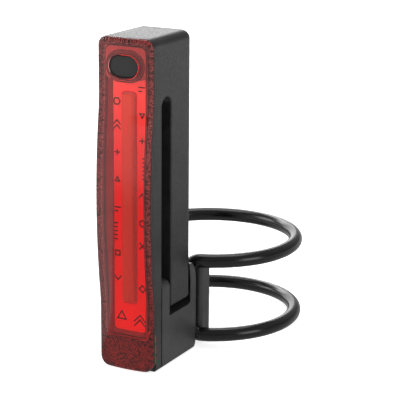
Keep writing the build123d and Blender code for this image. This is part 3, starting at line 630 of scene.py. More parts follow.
@dataclass(frozen=True)
class Studio:
    """White table in a soft white room, a reflector card at the front left and large lamps.

    A shine is the brightness that a reflection sees. The room's spans are parts of a direction's
    height, or of its way to the right, between which its brightness changes.
    """

    floor_size: float = 9000.0
    floor_drop: float = 0.05
    paper: str = "#ececec"
    camera_lift: float = 0.75
    near: float = 170.0
    far: float = 300.0
    near_shine: float = 0.58
    far_shine: float = 1.12
    card_shine: float = 1.3
    card_corner: Point = (-14.0, -44.0, 0.0)
    card_angle_deg: float = -34.0
    card_length: float = 3500.0
    card_width: float = 2500.0
    room_level: float = 0.62
    overhead_level: float = 0.3
    level_span: Flat = (0.1, 0.9)
    left_shine: float = 1.0
    right_shine: float = 0.3
    side_span: Flat = (-0.5, -0.1)
    overhead_shine: float = 0.45
    shine_span: Flat = (0.3, 0.5)
    lamp_target: Point = (0.0, -20.0, 35.0)
    lamps: tuple[Lamp, ...] = (
        Lamp("soft_top", (-100, 150, 700), (500, 400), 1.85),
        Lamp("soft_left", (-700, -300, 420), (400, 400), 2.0),
        Lamp("soft_right", (650, -150, 150), (300, 400), 1.15),
        Lamp("low_back", (-557, 502, 250), (760, 440), 1.4),
        Lamp("high_back", (-491, 443, 448), (760, 140), 1.85),
    )

    def sheet(self, name: str, corners: list[Vector], near_shine: float, far_shine: float) -> None:
        """Adds a flat white sheet that keeps shadows and looks white to the camera.

        Args:
            name: the sheet's name.
            corners: its four corners.
            near_shine: its brightness in reflections close to the object.
            far_shine: its brightness in reflections further away.
        """
        mesh = bpy.data.meshes.new(name)
        mesh.from_pydata([corner * MM for corner in corners], [], [(0, 1, 2, 3)])
        material = bpy.data.materials.new(name + "_paper")
        tree = fresh_tree(material)
        path = add_node(tree, "ShaderNodeLightPath").outputs
        place = add_node(tree, "ShaderNodeTexCoord").outputs["Object"]
        away = add_node(tree, "ShaderNodeVectorMath", {0: place}, operation="LENGTH")
        span = {
            "Value": away.outputs["Value"],
            "From Min": self.near * MM,
            "From Max": self.far * MM,
            "To Min": near_shine,
            "To Max": far_shine,
        }
        shine = add_node(tree, "ShaderNodeMapRange", span)
        mirror = add_node(tree, "ShaderNodeEmission", {"Color": WHITE, "Strength": shine})
        paper = add_node(tree, "ShaderNodeBsdfDiffuse", {"Color": linear(self.paper)})
        lift = {0: path["Is Camera Ray"], 1: self.camera_lift}
        level = add_node(tree, "ShaderNodeMath", lift, operation="MULTIPLY")
        light = add_node(tree, "ShaderNodeEmission", {"Color": WHITE, "Strength": level})
        plain = add_node(tree, "ShaderNodeAddShader", {0: paper, 1: light})
        both = {0: path["Is Glossy Ray"], 1: plain, 2: mirror}
        mixed = add_node(tree, "ShaderNodeMixShader", both)
        add_node(tree, "ShaderNodeOutputMaterial", {"Surface": mixed})
        mesh.materials.append(material)
        add_object(name, mesh)

    def room(self) -> None:
        """Lights everything from a white room that is darker overhead, and shows white behind."""
        world = bpy.data.worlds.new("white_room")
        bpy.context.scene.world = world
        tree = fresh_tree(world)
        place = add_node(tree, "ShaderNodeTexCoord").outputs["Generated"]
        way = add_node(tree, "ShaderNodeSeparateXYZ", {0: place}).outputs
        low, high = self.level_span
        span = {"Value": way["Z"], "From Min": low, "From Max": high}
        ends = {"To Min": self.room_level, "To Max": self.overhead_level}
        soft = add_node(tree, "ShaderNodeMapRange", span | ends)
        left, right = self.side_span
        span = {"Value": way["X"], "From Min": left, "From Max": right}
        ends = {"To Min": self.left_shine, "To Max": self.right_shine}
        level = add_node(tree, "ShaderNodeMapRange", span | ends)
        low, high = self.shine_span
        span = {"Value": way["Z"], "From Min": low, "From Max": high}
        ends = {"To Min": level, "To Max": self.overhead_shine}
        shine = add_node(tree, "ShaderNodeMapRange", span | ends)
        path = add_node(tree, "ShaderNodeLightPath").outputs
        straight = {0: path["Is Camera Ray"], 1: path["Is Transmission Ray"]}
        seen = add_node(tree, "ShaderNodeMath", straight, operation="MAXIMUM")
        light, mirror, white = (
            add_node(tree, "ShaderNodeBackground", {"Color": WHITE, "Strength": strength})
            for strength in (soft, shine, 1.0)
        )
        lit = add_node(tree, "ShaderNodeMixShader", {0: path["Is Glossy Ray"], 1: light, 2: mirror})
        mix = add_node(tree, "ShaderNodeMixShader", {0: seen, 1: lit, 2: white})
        add_node(tree, "ShaderNodeOutputWorld", {"Surface": mix})

    def build(self) -> None:
        """Makes the floor, the card, the room and the lamps, and sets the plain view transform."""
        half, drop = self.floor_size / 2, -self.floor_drop
        sides = ((-half, -half), (half, -half), (half, half), (-half, half))
        floor = [Vector((x, y, drop)) for x, y in sides]
        self.sheet("studio_floor", floor, self.near_shine, self.far_shine)
        angle = math.radians(self.card_angle_deg)
        along = Vector((math.sin(angle), -math.cos(angle), 0)) * self.card_length
        across = Vector((-math.cos(angle), -math.sin(angle), 0)) * self.card_width
        corner = Vector(self.card_corner) + Vector((0, 0, drop / 2))
        card = [corner, corner + across, corner + across + along, corner + along]
        self.sheet("reflector_card", card, self.card_shine, self.card_shine)
        self.room()
        for lamp in self.lamps:
            lamp.build(self.lamp_target)
        bpy.context.scene.view_settings.view_transform = "Standard"


def new_object(name: str, mesh: bpy.types.Mesh, finish: Finish) -> bpy.types.Object:
    """Adds a mesh to the scene with a finish.

    Args:
        name: the object's name.
        mesh: its mesh, in metres, in the row frame.
        finish: its finish.

    Returns:
        The object.
    """
    mesh.materials.clear()
    mesh.materials.append(finish.material())
    return add_object(name, mesh)


def baked(obj: bpy.types.Object) -> bpy.types.Object:
    """Turns an object's modifiers into its plain mesh.

    Args:
        obj: an object with modifiers.

    Returns:
        The same object without modifiers.
    """
    graph = bpy.context.evaluated_depsgraph_get()
    mesh = bpy.data.meshes.new_from_object(obj.evaluated_get(graph))
    obj.modifiers.clear()
    old = obj.data
    obj.data = mesh
    bpy.data.meshes.remove(old)
    return obj


def place(obj: bpy.types.Object, body: Body, slot: str, replaced: str | None = None) -> None:
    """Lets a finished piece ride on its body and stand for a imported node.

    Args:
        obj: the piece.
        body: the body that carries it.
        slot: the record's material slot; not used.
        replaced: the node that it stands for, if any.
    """
    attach(obj, body.value)
    if replaced:
        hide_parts(replaced)
    LOG.info("%s: %d faces, on %s", obj.name, len(obj.data.polygons), body.value)


def finished_mesh(
    name: str, points: list[Point], faces: list[Face], sharp_deg: float
) -> bpy.types.Mesh:
    """Makes a smooth mesh with outward faces from points in millimetres.

    Args:
        name: the mesh's name.
        points: its corners in millimetres.
        faces: its faces as lists of corner numbers.
        sharp_deg: edges that turn more than this stay sharp.

    Returns:
        The mesh, in metres.
    """
    build = bmesh.new()
    corners = [build.verts.new(Vector(point) * MM) for point in points]
    for face in faces:
        build.faces.new([corners[i] for i in face])
    bmesh.ops.remove_doubles(build, verts=build.verts, dist=MERGE_MM * MM)
    bmesh.ops.recalc_face_normals(build, faces=build.faces)
    mesh = bpy.data.meshes.new(name)
    build.to_mesh(mesh)
    build.free()
    mesh.shade_smooth()
    mesh.set_sharp_from_angle(angle=math.radians(sharp_deg))
    return mesh


def loft_mesh(
    name: str, loops: list[list[Point]], sharp_deg: float = 40.0, capped: bool = False
) -> bpy.types.Mesh:
    """Joins closed loops with equal numbers of points by quads.

    Args:
        name: the mesh's name.
        loops: the loops in order.
        sharp_deg: edges that turn more than this stay sharp.
        capped: whether the first and last loops are filled; otherwise they are joined.

    Returns:
        The mesh.
    """
    count = len(loops[0])
    points = [point for loop in loops for point in loop]
    faces: list[Face] = []
    if capped:
        faces += [tuple(range(count)), tuple(range(len(points) - count, len(points)))]
    for row in range(len(loops) - 1 if capped else len(loops)):
        near, far = row * count, (row + 1) % len(loops) * count
        for i in range(count):
            j = (i + 1) % count
            faces.append((near + i, near + j, far + j, far + i))
    return finished_mesh(name, points, faces, sharp_deg)


def path_mesh(name: str, paths: list[list[Point]], closed: bool = False) -> bpy.types.Mesh:
    """Makes a mesh of bare edges along paths.

    Args:
        name: the mesh's name.
        paths: the points of each path, in millimetres.
        closed: whether each path's last point joins its first.

    Returns:
        The mesh, in metres.
    """
    points: list[Vector] = []
    edges: list[tuple[int, int]] = []
    for path in paths:
        start, count = len(points), len(path)
        steps = range(count if closed else count - 1)
        edges += [(start + k, start + (k + 1) % count) for k in steps]
        points += [Vector(point) * MM for point in path]
    mesh = bpy.data.meshes.new(name)
    mesh.from_pydata(points, edges, [])
    return mesh


def new_tree(name: str, inputs: dict[str, tuple[str, float]]) -> bpy.types.NodeTree:
    """Starts a Geometry Nodes tree with its geometry sockets and named sizes.

    Args:
        name: the tree's name.
        inputs: socket name with its type and default.

    Returns:
        The tree.
    """
    tree = bpy.data.node_groups.new(name, "GeometryNodeTree")
    tree.interface.new_socket("Geometry", in_out="INPUT", socket_type="NodeSocketGeometry")
    for label, (kind, default) in inputs.items():
        socket = tree.interface.new_socket(label, in_out="INPUT", socket_type=kind)
        socket.default_value = default
    tree.interface.new_socket("Geometry", in_out="OUTPUT", socket_type="NodeSocketGeometry")
    return tree


def close_tree(
    tree: bpy.types.NodeTree, geometry: bpy.types.Node, finish: Finish
) -> bpy.types.NodeTree:
    """Ends a tree: real geometry, smooth faces and the finish.

    Args:
        tree: the tree.
        geometry: the node that gives the shape.
        finish: the shape's finish.

    Returns:
        The tree.
    """
    real = add_node(tree, "GeometryNodeRealizeInstances", {"Geometry": geometry})
    smooth = add_node(tree, "GeometryNodeSetShadeSmooth", {0: real})
    dress = {"Geometry": smooth, "Material": finish.material()}
    add_node(tree, "NodeGroupOutput", {0: add_node(tree, "GeometryNodeSetMaterial", dress)})
    return tree


def sweep_tree(finish: Finish) -> bpy.types.NodeTree:
    """Builds a tree that sweeps a round section along the piece's edges.

    Args:
        finish: the piece's finish.

    Returns:
        The tree.
    """
    sizes = {"Section Radius": ("NodeSocketFloat", 0.001), "Section Steps": ("NodeSocketInt", 32)}
    tree = new_tree("round_section_sweep_" + finish.name, sizes)
    given = add_node(tree, "NodeGroupInput").outputs
    path = add_node(tree, "GeometryNodeMeshToCurve", {"Mesh": given["Geometry"]})
    circle = {"Radius": given["Section Radius"], "Resolution": given["Section Steps"]}
    section = add_node(tree, "GeometryNodeCurvePrimitiveCircle", circle)
    ends = {"Curve": path, "Profile Curve": section, "Fill Caps": True}
    return close_tree(tree, add_node(tree, "GeometryNodeCurveToMesh", ends), finish)


def bead_tree(finish: Finish) -> bpy.types.NodeTree:
    """Builds a tree that sets small round beads along the piece's edges.

    Args:
        finish: the piece's finish.

    Returns:
        The tree.
    """
    sizes = {"Pitch": ("NodeSocketFloat", 0.0005), "Bead Radius": ("NodeSocketFloat", 0.0001)}
    tree = new_tree("bead_row_" + finish.name, sizes)
    given = add_node(tree, "NodeGroupInput").outputs
    path = add_node(tree, "GeometryNodeMeshToCurve", {"Mesh": given["Geometry"]})
    pitch = {"Curve": path, "Length": given["Pitch"]}
    spots = add_node(tree, "GeometryNodeResampleCurve", pitch, mode="LENGTH")
    ball = {"Segments": 8, "Rings": 6, "Radius": given["Bead Radius"]}
    bead = add_node(tree, "GeometryNodeMeshUVSphere", ball)
    parts = {"Points": spots, "Instance": bead}
    return close_tree(tree, add_node(tree, "GeometryNodeInstanceOnPoints", parts), finish)


def row_tree(finish: Finish) -> bpy.types.NodeTree:
    """Builds a tree that repeats the piece's own mesh in an upright row.

    Args:
        finish: the piece's finish.

    Returns:
        The tree.
    """
    sizes = {"Count": ("NodeSocketInt", 5), "Pitch": ("NodeSocketFloat", 0.001)}
    tree = new_tree("upright_row_" + finish.name, sizes)
    given = add_node(tree, "NodeGroupInput").outputs
    step = add_node(tree, "ShaderNodeCombineXYZ", {"Z": given["Pitch"]})
    spacing = {"Count": given["Count"], "Offset": step}
    line = add_node(tree, "GeometryNodeMeshLine", spacing, mode="OFFSET")
    parts = {"Points": line, "Instance": given["Geometry"]}
    return close_tree(tree, add_node(tree, "GeometryNodeInstanceOnPoints", parts), finish)


def run_tree(obj: bpy.types.Object, tree: bpy.types.NodeTree, sizes: dict[str, float]) -> None:
    """Runs a Geometry Nodes tree on a piece and keeps the result as its plain mesh.

    Args:
        obj: the piece.
        tree: the tree.
        sizes: values of the tree's named inputs.
    """
    modifier = obj.modifiers.new(tree.name, "NODES")
    modifier.node_group = tree
    for item in tree.interface.items_tree:
        if item.item_type == "SOCKET" and item.in_out == "INPUT" and item.name in sizes:
            modifier[item.identifier] = sizes[item.name]
    baked(obj)


def swept(
    name: str, path: list[Point], finish: Finish, radius: float, steps: int, closed: bool = False
) -> bpy.types.Object:
    """Sweeps a round section along a path.

    Args:
        name: the piece's name.
        path: the section's middle line.
        finish: the piece's finish.
        radius: the section's radius.
        steps: number of corners of the section.
        closed: whether the path is a closed loop.

    Returns:
        The piece.
    """
    piece = new_object(name, path_mesh(name, [path], closed), finish)
    run_tree(piece, sweep_tree(finish), {"Section Radius": radius * MM, "Section Steps": steps})
    return piece


def flat(level: float) -> Depth:
    """Gives a surface that has one depth everywhere."""
    return lambda x, z: level


def moved(surface: Depth, by: float) -> Depth:
    """Gives a surface moved backwards by a distance."""
    return lambda x, z: surface(x, z) + by


def rounding(radius: float, steps: int) -> list[Flat]:
    """Gives the steps round an edge between two faces.

    Args:
        radius: the edge's radius.
        steps: the number of steps.

    Returns:
        Each step's distance in from the first face and from the last one.
    """
    turns = [math.pi / 2 * k / steps for k in range(steps + 1)]
    return [(radius * (1 - math.cos(turn)), radius * (1 - math.sin(turn))) for turn in turns]


@dataclass(frozen=True)
class Outline:
    """Rounded rectangle in front view, from which a shape's loops are taken."""

    half_width: float
    bottom: float
    top: float
    radius: float
    low_radius: float = 0.0
    arc_steps: int = 10
    reach: float = 200.0
    halvings: int = 36

    @property
    def middle(self) -> float:
        """Height of its middle."""
        return (self.bottom + self.top) / 2

    def grown(self, by: float) -> Outline:
        """Gives the outline moved outwards by a distance.

        Args:
            by: the distance.

        Returns:
            The new outline, whose corners stay a little round.
        """
        low = max(self.low_radius + by, LEAST_RADIUS) if self.low_radius else 0.0
        high = max(self.radius + by, LEAST_RADIUS)
        return Outline(self.half_width + by, self.bottom - by, self.top + by, high, low)

    def corner(self, z: float) -> float:
        """Gives the radius of the corners at a height."""
        return self.low_radius if self.low_radius and z < self.middle else self.radius

    def outside(self, x: float, z: float) -> float:
        """Measures how far a point is outside the outline.

        Args:
            x: the point's place to the right.
            z: its height.

        Returns:
            The distance, negative inside.
        """
        half_height = (self.top - self.bottom) / 2
        radius = self.corner(z)
        dx = abs(x) - self.half_width + radius
        dz = abs(z - self.bottom - half_height) - half_height + radius
        return math.hypot(max(dx, 0), max(dz, 0)) + min(max(dx, dz), 0) - radius

    def hit(self, centre_z: float, ray: Vector) -> Flat:
        """Finds where a ray from inside meets the outline.

        Args:
            centre_z: height of the ray's start on the middle line.
            ray: the ray's direction, in x and z.

        Returns:
            The meeting point's x and z.
        """
        near, far = 0.0, self.reach
        for _ in range(self.halvings):
            middle = (near + far) / 2
            if self.outside(ray[0] * middle, centre_z + ray[1] * middle) < 0:
                near = middle
            else:
                far = middle
        return ray[0] * near, centre_z + ray[1] * near

    def walk(self, step: float) -> list[Flat]:
        """Gives points along the outline about a step apart, with its corners well divided.

        Args:
            step: the distance between points on the straight sides.

        Returns:
            Points as x and z.
        """
        high, low = self.corner(self.top), self.corner(self.bottom)
        corners = (
            (self.half_width - high, self.top - high, 0, high),
            (-self.half_width + high, self.top - high, 90, high),
            (-self.half_width + low, self.bottom + low, 180, low),
            (self.half_width - low, self.bottom + low, 270, low),
        )
        points: list[Flat] = []
        for number, (x, z, start, radius) in enumerate(corners):
            for k in range(self.arc_steps + 1):
                turn = math.radians(start + 90 * k / self.arc_steps)
                points.append((x + radius * math.cos(turn), z + radius * math.sin(turn)))
            x, z, start, radius = corners[(number + 1) % 4]
            turn = math.radians(start)
            end = (x + radius * math.cos(turn), z + radius * math.sin(turn))
            last = points[-1]
            parts = max(int(math.dist(last, end) / step), 1)
            for k in range(1, parts):
                points.append(tuple(a + (b - a) * k / parts for a, b in zip(last, end)))
        return points

    def rays(self, centre_z: float, step: float) -> list[Vector]:
        """Gives the directions from a point on the middle line to points along the outline."""
        return [Vector((x, z - centre_z)).normalized() for x, z in self.walk(step)]

    def loop(self, centre_z: float, rays: list[Vector], surface: Depth) -> list[Point]:
        """Makes a loop on the outline with one point on each ray.

        Args:
            centre_z: height of the rays' start on the middle line.
            rays: their directions, in x and z.
            surface: gives the depth at an x and z.

        Returns:
            The loop's points.
        """
        return [(x, surface(x, z), z) for x, z in (self.hit(centre_z, ray) for ray in rays)]


@dataclass(frozen=True)
class SeamLine:
    """Front line of the housing in side view: straight, then bulged forward between blends."""

    depth: float = -36.9615
    blend_radius: float = 40.0
    blend_start: float = 12.0
    bulge_start: float = 16.749
    bulge_middle: float = 35.5
    bulge_end: float = 54.251
    blend_end: float = 59.0
    bulge: float = 1.4
    bulge_radius: float = 157.93

    def at(self, z: float) -> float:
        """Gives the line's depth at a height.

        Args:
            z: the height.

        Returns:
            The depth along Y.
        """
        if z < self.blend_start or z > self.blend_end:
            return self.depth
        if self.bulge_start <= z <= self.bulge_end:
            rise = math.sqrt(self.bulge_radius**2 - (z - self.bulge_middle) ** 2)
            return self.depth + self.bulge_radius - self.bulge - rise
        run = z - self.blend_start if z < self.bulge_start else self.blend_end - z
        return self.depth - self.blend_radius + math.sqrt(self.blend_radius**2 - run**2)

    def plane(self, by: float) -> Depth:
        """Gives the surface that the line makes from side to side, moved backwards."""
        return lambda x, z: self.at(z) + by


KEY_HOLE = Outline(half_width=3.42, bottom=61.88, top=66.52, radius=2.32)


@dataclass
class Cover:
    """Red cover: crowned across, bulged along, hollow behind, with a collar round the key."""

    seam: SeamLine = SeamLine()
    outline: Outline = Outline(6.4, 0.0, 70.0, 1.9, 2.2)
    hollow: Outline = Outline(4.9, 6.9, 68.5, 1.5)
    hole: Outline = KEY_HOLE
    collar: Outline = Outline(4.42, 60.88, 67.52, 3.32)
    key_z: float = KEY_Z
    crown: float = 2.232
    crown_radius: float = 28.0
    wall: float = 1.1
    edge: float = 0.75
    hole_edge: float = 0.1
    inner_edge: float = 0.1
    collar_back: float = -0.73
    skin: float = 0.05
    skin_overlap: float = 0.01
    skin_fold: float = 0.03
    skin_taper: float = 0.1
    seam_gap: float = 0.02
    seam_edge: float = 0.08
    rim_front: float = -0.07
    rim_back: float = -0.04
    rim_inset: float = 0.14
    rim_overlap: float = 0.04
    bead_rows: tuple[float, ...] = (-6.32, -6.2, 6.2, 6.32)
    bead_bottom: float = 2.5
    bead_run: float = 65.0
    bead_depth: float = -0.42
    bead_pitch: float = 0.47
    bead_radius: float = 0.075
    line_gap: float = 0.07
    line_depth: float = 0.16
    line_radius: float = 0.05
    line_start_deg: float = 100.0
    line_turn_deg: float = -170.0
    step: float = 0.55
    edge_steps: int = 6
    fine_steps: int = 3
    rows: int = 60
    back_rows: int = 16
    path_steps: int = 128
    line_steps: int = 40
    rays: list[Vector] = field(default_factory=list)

    def front(self, x: float, z: float) -> float:
        """Gives the depth of the cover's front at a point."""
        drop = self.crown_radius - math.sqrt(self.crown_radius**2 - x * x)
        return self.seam.at(z) - self.crown + drop

    def ceiling(self, x: float, z: float) -> float:
        """Gives the depth of the hollow's ceiling at a point."""
        return self.front(x, z) + self.wall

    def back(self, x: float, z: float) -> float:
        """Gives the depth of the cover's back face at a point."""
        return self.seam.at(z) - self.seam_gap

    def loop(self, outline: Outline, surface: Depth, by: float = 0.0) -> list[Point]:
        """Makes a loop on an outline, on a surface moved backwards by a distance."""
        return outline.loop(self.key_z, self.rays, moved(surface, by))

    def between(
        self, first: list[Point], last: list[Point], rows: int, surface: Depth
    ) -> list[list[Point]]:
        """Makes the loops that lie between two loops.

        Args:
            first: the loop before them.
            last: the loop after them.
            rows: the number of steps from the first to the last.
            surface: gives the depth at a point.

        Returns:
            The loops between, without the two given ones.
        """
        loops = []
        for part in (row / rows for row in range(1, rows)):
            loop = []
            for a, b in zip(first, last):
                x, z = a[0] + (b[0] - a[0]) * part, a[2] + (b[2] - a[2]) * part
                loop.append((x, surface(x, z), z))
            loops.append(loop)
        return loops

    def build_cover(self) -> None:
        """Makes the cover: from the seam over its front, in at the hole and back by the hollow."""
        body = self.outline.grown(-self.skin)
        loops = [
            self.loop(body.grown(-self.seam_edge), self.back),
            self.loop(body, self.back, -self.seam_edge),
        ]
        for inset, drop in rounding(self.edge, self.edge_steps):
            loops.append(self.loop(body.grown(-inset), self.front, drop))
        mouth = []
        for drop, out in rounding(self.hole_edge, self.fine_steps):
            mouth.append(self.loop(self.hole.grown(out), self.front, drop))
        loops += self.between(loops[-1], mouth[0], self.rows, self.front) + mouth
        foot = self.seam.plane(self.collar_back)
        top = self.loop(self.collar, self.ceiling)
        loops += [self.loop(self.hole, foot), self.loop(self.collar, foot), top]
        inner = []
        for drop, inset in rounding(self.inner_edge, self.fine_steps):
            inner.append(self.loop(self.hollow.grown(-inset), self.ceiling, drop))
        loops += self.between(top, inner[0], self.rows, self.ceiling) + inner
        loops.append(self.loop(self.hollow, self.back))
        loops += self.between(loops[-1], loops[0], self.back_rows, self.back)
        cover = new_object("red_cover", loft_mesh("red_cover", loops), LENS_ACRYLIC)
        place(cover, Body.LIGHT, "lens_red", "lens")

    def build_rim(self) -> None:
        """Makes the thin textured layer at the back of the cover's rim."""
        outer = self.outline.grown(-self.rim_inset)
        inner = self.hollow.grown(self.rim_overlap)
        loops = []
        for start, end, depth in ((outer, inner, self.rim_front), (inner, outer, self.rim_back)):
            layer = self.seam.plane(depth)
            first, last = self.loop(start, layer), self.loop(end, layer)
            loops += [first] + self.between(first, last, self.back_rows, layer) + [last]
        rim = new_object("textured_rim", loft_mesh("textured_rim", loops), RIM_TEXTURE)
        place(rim, Body.LIGHT, "lens_red")

    def build_side(self) -> None:
        """Makes the thin textured skin on the cover's side walls."""
        lining = self.outline.grown(self.skin_overlap - self.skin)
        loops = [
            self.loop(self.outline.grown(-self.skin_fold), self.back),
            self.loop(self.outline, self.back, -self.seam_edge),
            self.loop(self.outline, self.front, self.edge),
            self.loop(lining, self.front, self.edge - self.skin_taper),
            self.loop(lining, self.back),
        ]
        side = new_object("textured_side", loft_mesh("textured_side", loops), SIDE_TEXTURE)
        place(side, Body.LIGHT, "lens_red")

    def build_beads(self) -> None:
        """Makes the rows of small weld beads along both sides of the seam."""
        steps = range(self.path_steps + 1)
        heights = [self.bead_bottom + self.bead_run * k / self.path_steps for k in steps]
        line = self.seam.plane(self.bead_depth)
        rows = [[(x, line(x, z), z) for z in heights] for x in self.bead_rows]
        beads = new_object("weld_beads", path_mesh("weld_beads", rows), WELD_BEADS)
        sizes = {"Pitch": self.bead_pitch * MM, "Bead Radius": self.bead_radius * MM}
        run_tree(beads, bead_tree(WELD_BEADS), sizes)
        place(beads, Body.LIGHT, "lens_red")

    def build_hole_highlight(self) -> None:
        """Makes the thin glowing line of painted highlight round the upper right of the key's hole.
        """
        steps = range(self.line_steps + 1)
        turns = [self.line_start_deg + self.line_turn_deg * k / self.line_steps for k in steps]
        rays = [Vector((math.cos(math.radians(t)), math.sin(math.radians(t)))) for t in turns]
        surface = moved(self.front, self.line_depth)
        path = self.hole.grown(self.line_gap).loop(self.key_z, rays, surface)
        line = swept("hole_painted_highlight", path, PAINTED_EDGE_HIGHLIGHT, self.line_radius, LINE_SIDES)
        place(line, Body.LIGHT, "lens_red")

    def build(self) -> None:
        """Makes the cover, its textured layers, its weld beads and the painted highlight line round
        the hole.
        """
        self.rays = self.outline.rays(self.key_z, self.step)
        self.build_cover()
        self.build_rim()
        self.build_side()
        self.build_beads()
        self.build_hole_highlight()


def polygon(x: float, z: float, radius: float, sides: int, turn_deg: float) -> list[Flat]:
    """Gives the corners of a regular polygon.

    Args:
        x: its centre's place to the right.
        z: its centre's height.
        radius: the distance from its centre to its corners.
        sides: the number of its sides.
        turn_deg: direction of its first corner.

    Returns:
        The corners as x and z.
    """
    angles = [math.radians(turn_deg + 360 * k / sides) for k in range(sides)]
    return [(x + radius * math.cos(a), z + radius * math.sin(a)) for a in angles]


# Generic marks on the film: each is a path and whether it is closed.
FILM_MARKS: tuple[tuple[list[Flat], bool], ...] = (
    (polygon(-2.9, 56.6, 0.75, 6, 0), True),
    ([(-3.6, 51.9), (-2.9, 52.7), (-2.2, 51.9)], False),
    ([(-3.6, 50.9), (-2.9, 51.7), (-2.2, 50.9)], False),
    ([(-3.4, 46.0), (-2.4, 46.0)], False),
    ([(-2.9, 45.5), (-2.9, 46.5)], False),
    (polygon(-2.9, 40.2, 0.6, 3, 90), True),
    ([(-3.5, 34.4), (-2.3, 34.4)], False),
    ([(-3.5, 33.6), (-2.9, 33.6)], False),
    (polygon(-2.9, 24.6, 0.7, 4, 45), True),
    ([(-3.6, 19.6), (-2.9, 18.8), (-2.2, 19.6)], False),
    ([(2.2, 59.9), (3.4, 59.9)], False),
    ([(2.2, 59.1), (2.8, 59.1)], False),
    (polygon(2.9, 54.2, 0.6, 3, -90), True),
    ([(2.4, 48.9), (3.4, 48.9)], False),
    ([(2.9, 48.4), (2.9, 49.4)], False),
    ([(2.2, 37.1), (2.9, 37.9), (3.6, 37.1)], False),
    (polygon(2.9, 31.6, 0.7, 6, 30), True),
    ([(2.3, 26.2), (3.5, 27.4)], False),
    ([(2.3, 27.4), (3.5, 26.2)], False),
    (polygon(2.9, 17.6, 0.75, 4, 0), True),
    (polygon(-2.0, 10.9, 1.15, 3, 90), True),
    ([(1.0, 10.3), (2.3, 11.7), (3.6, 10.3)], False),
    ([(1.0, 9.3), (2.3, 10.7), (3.6, 9.3)], False),
)


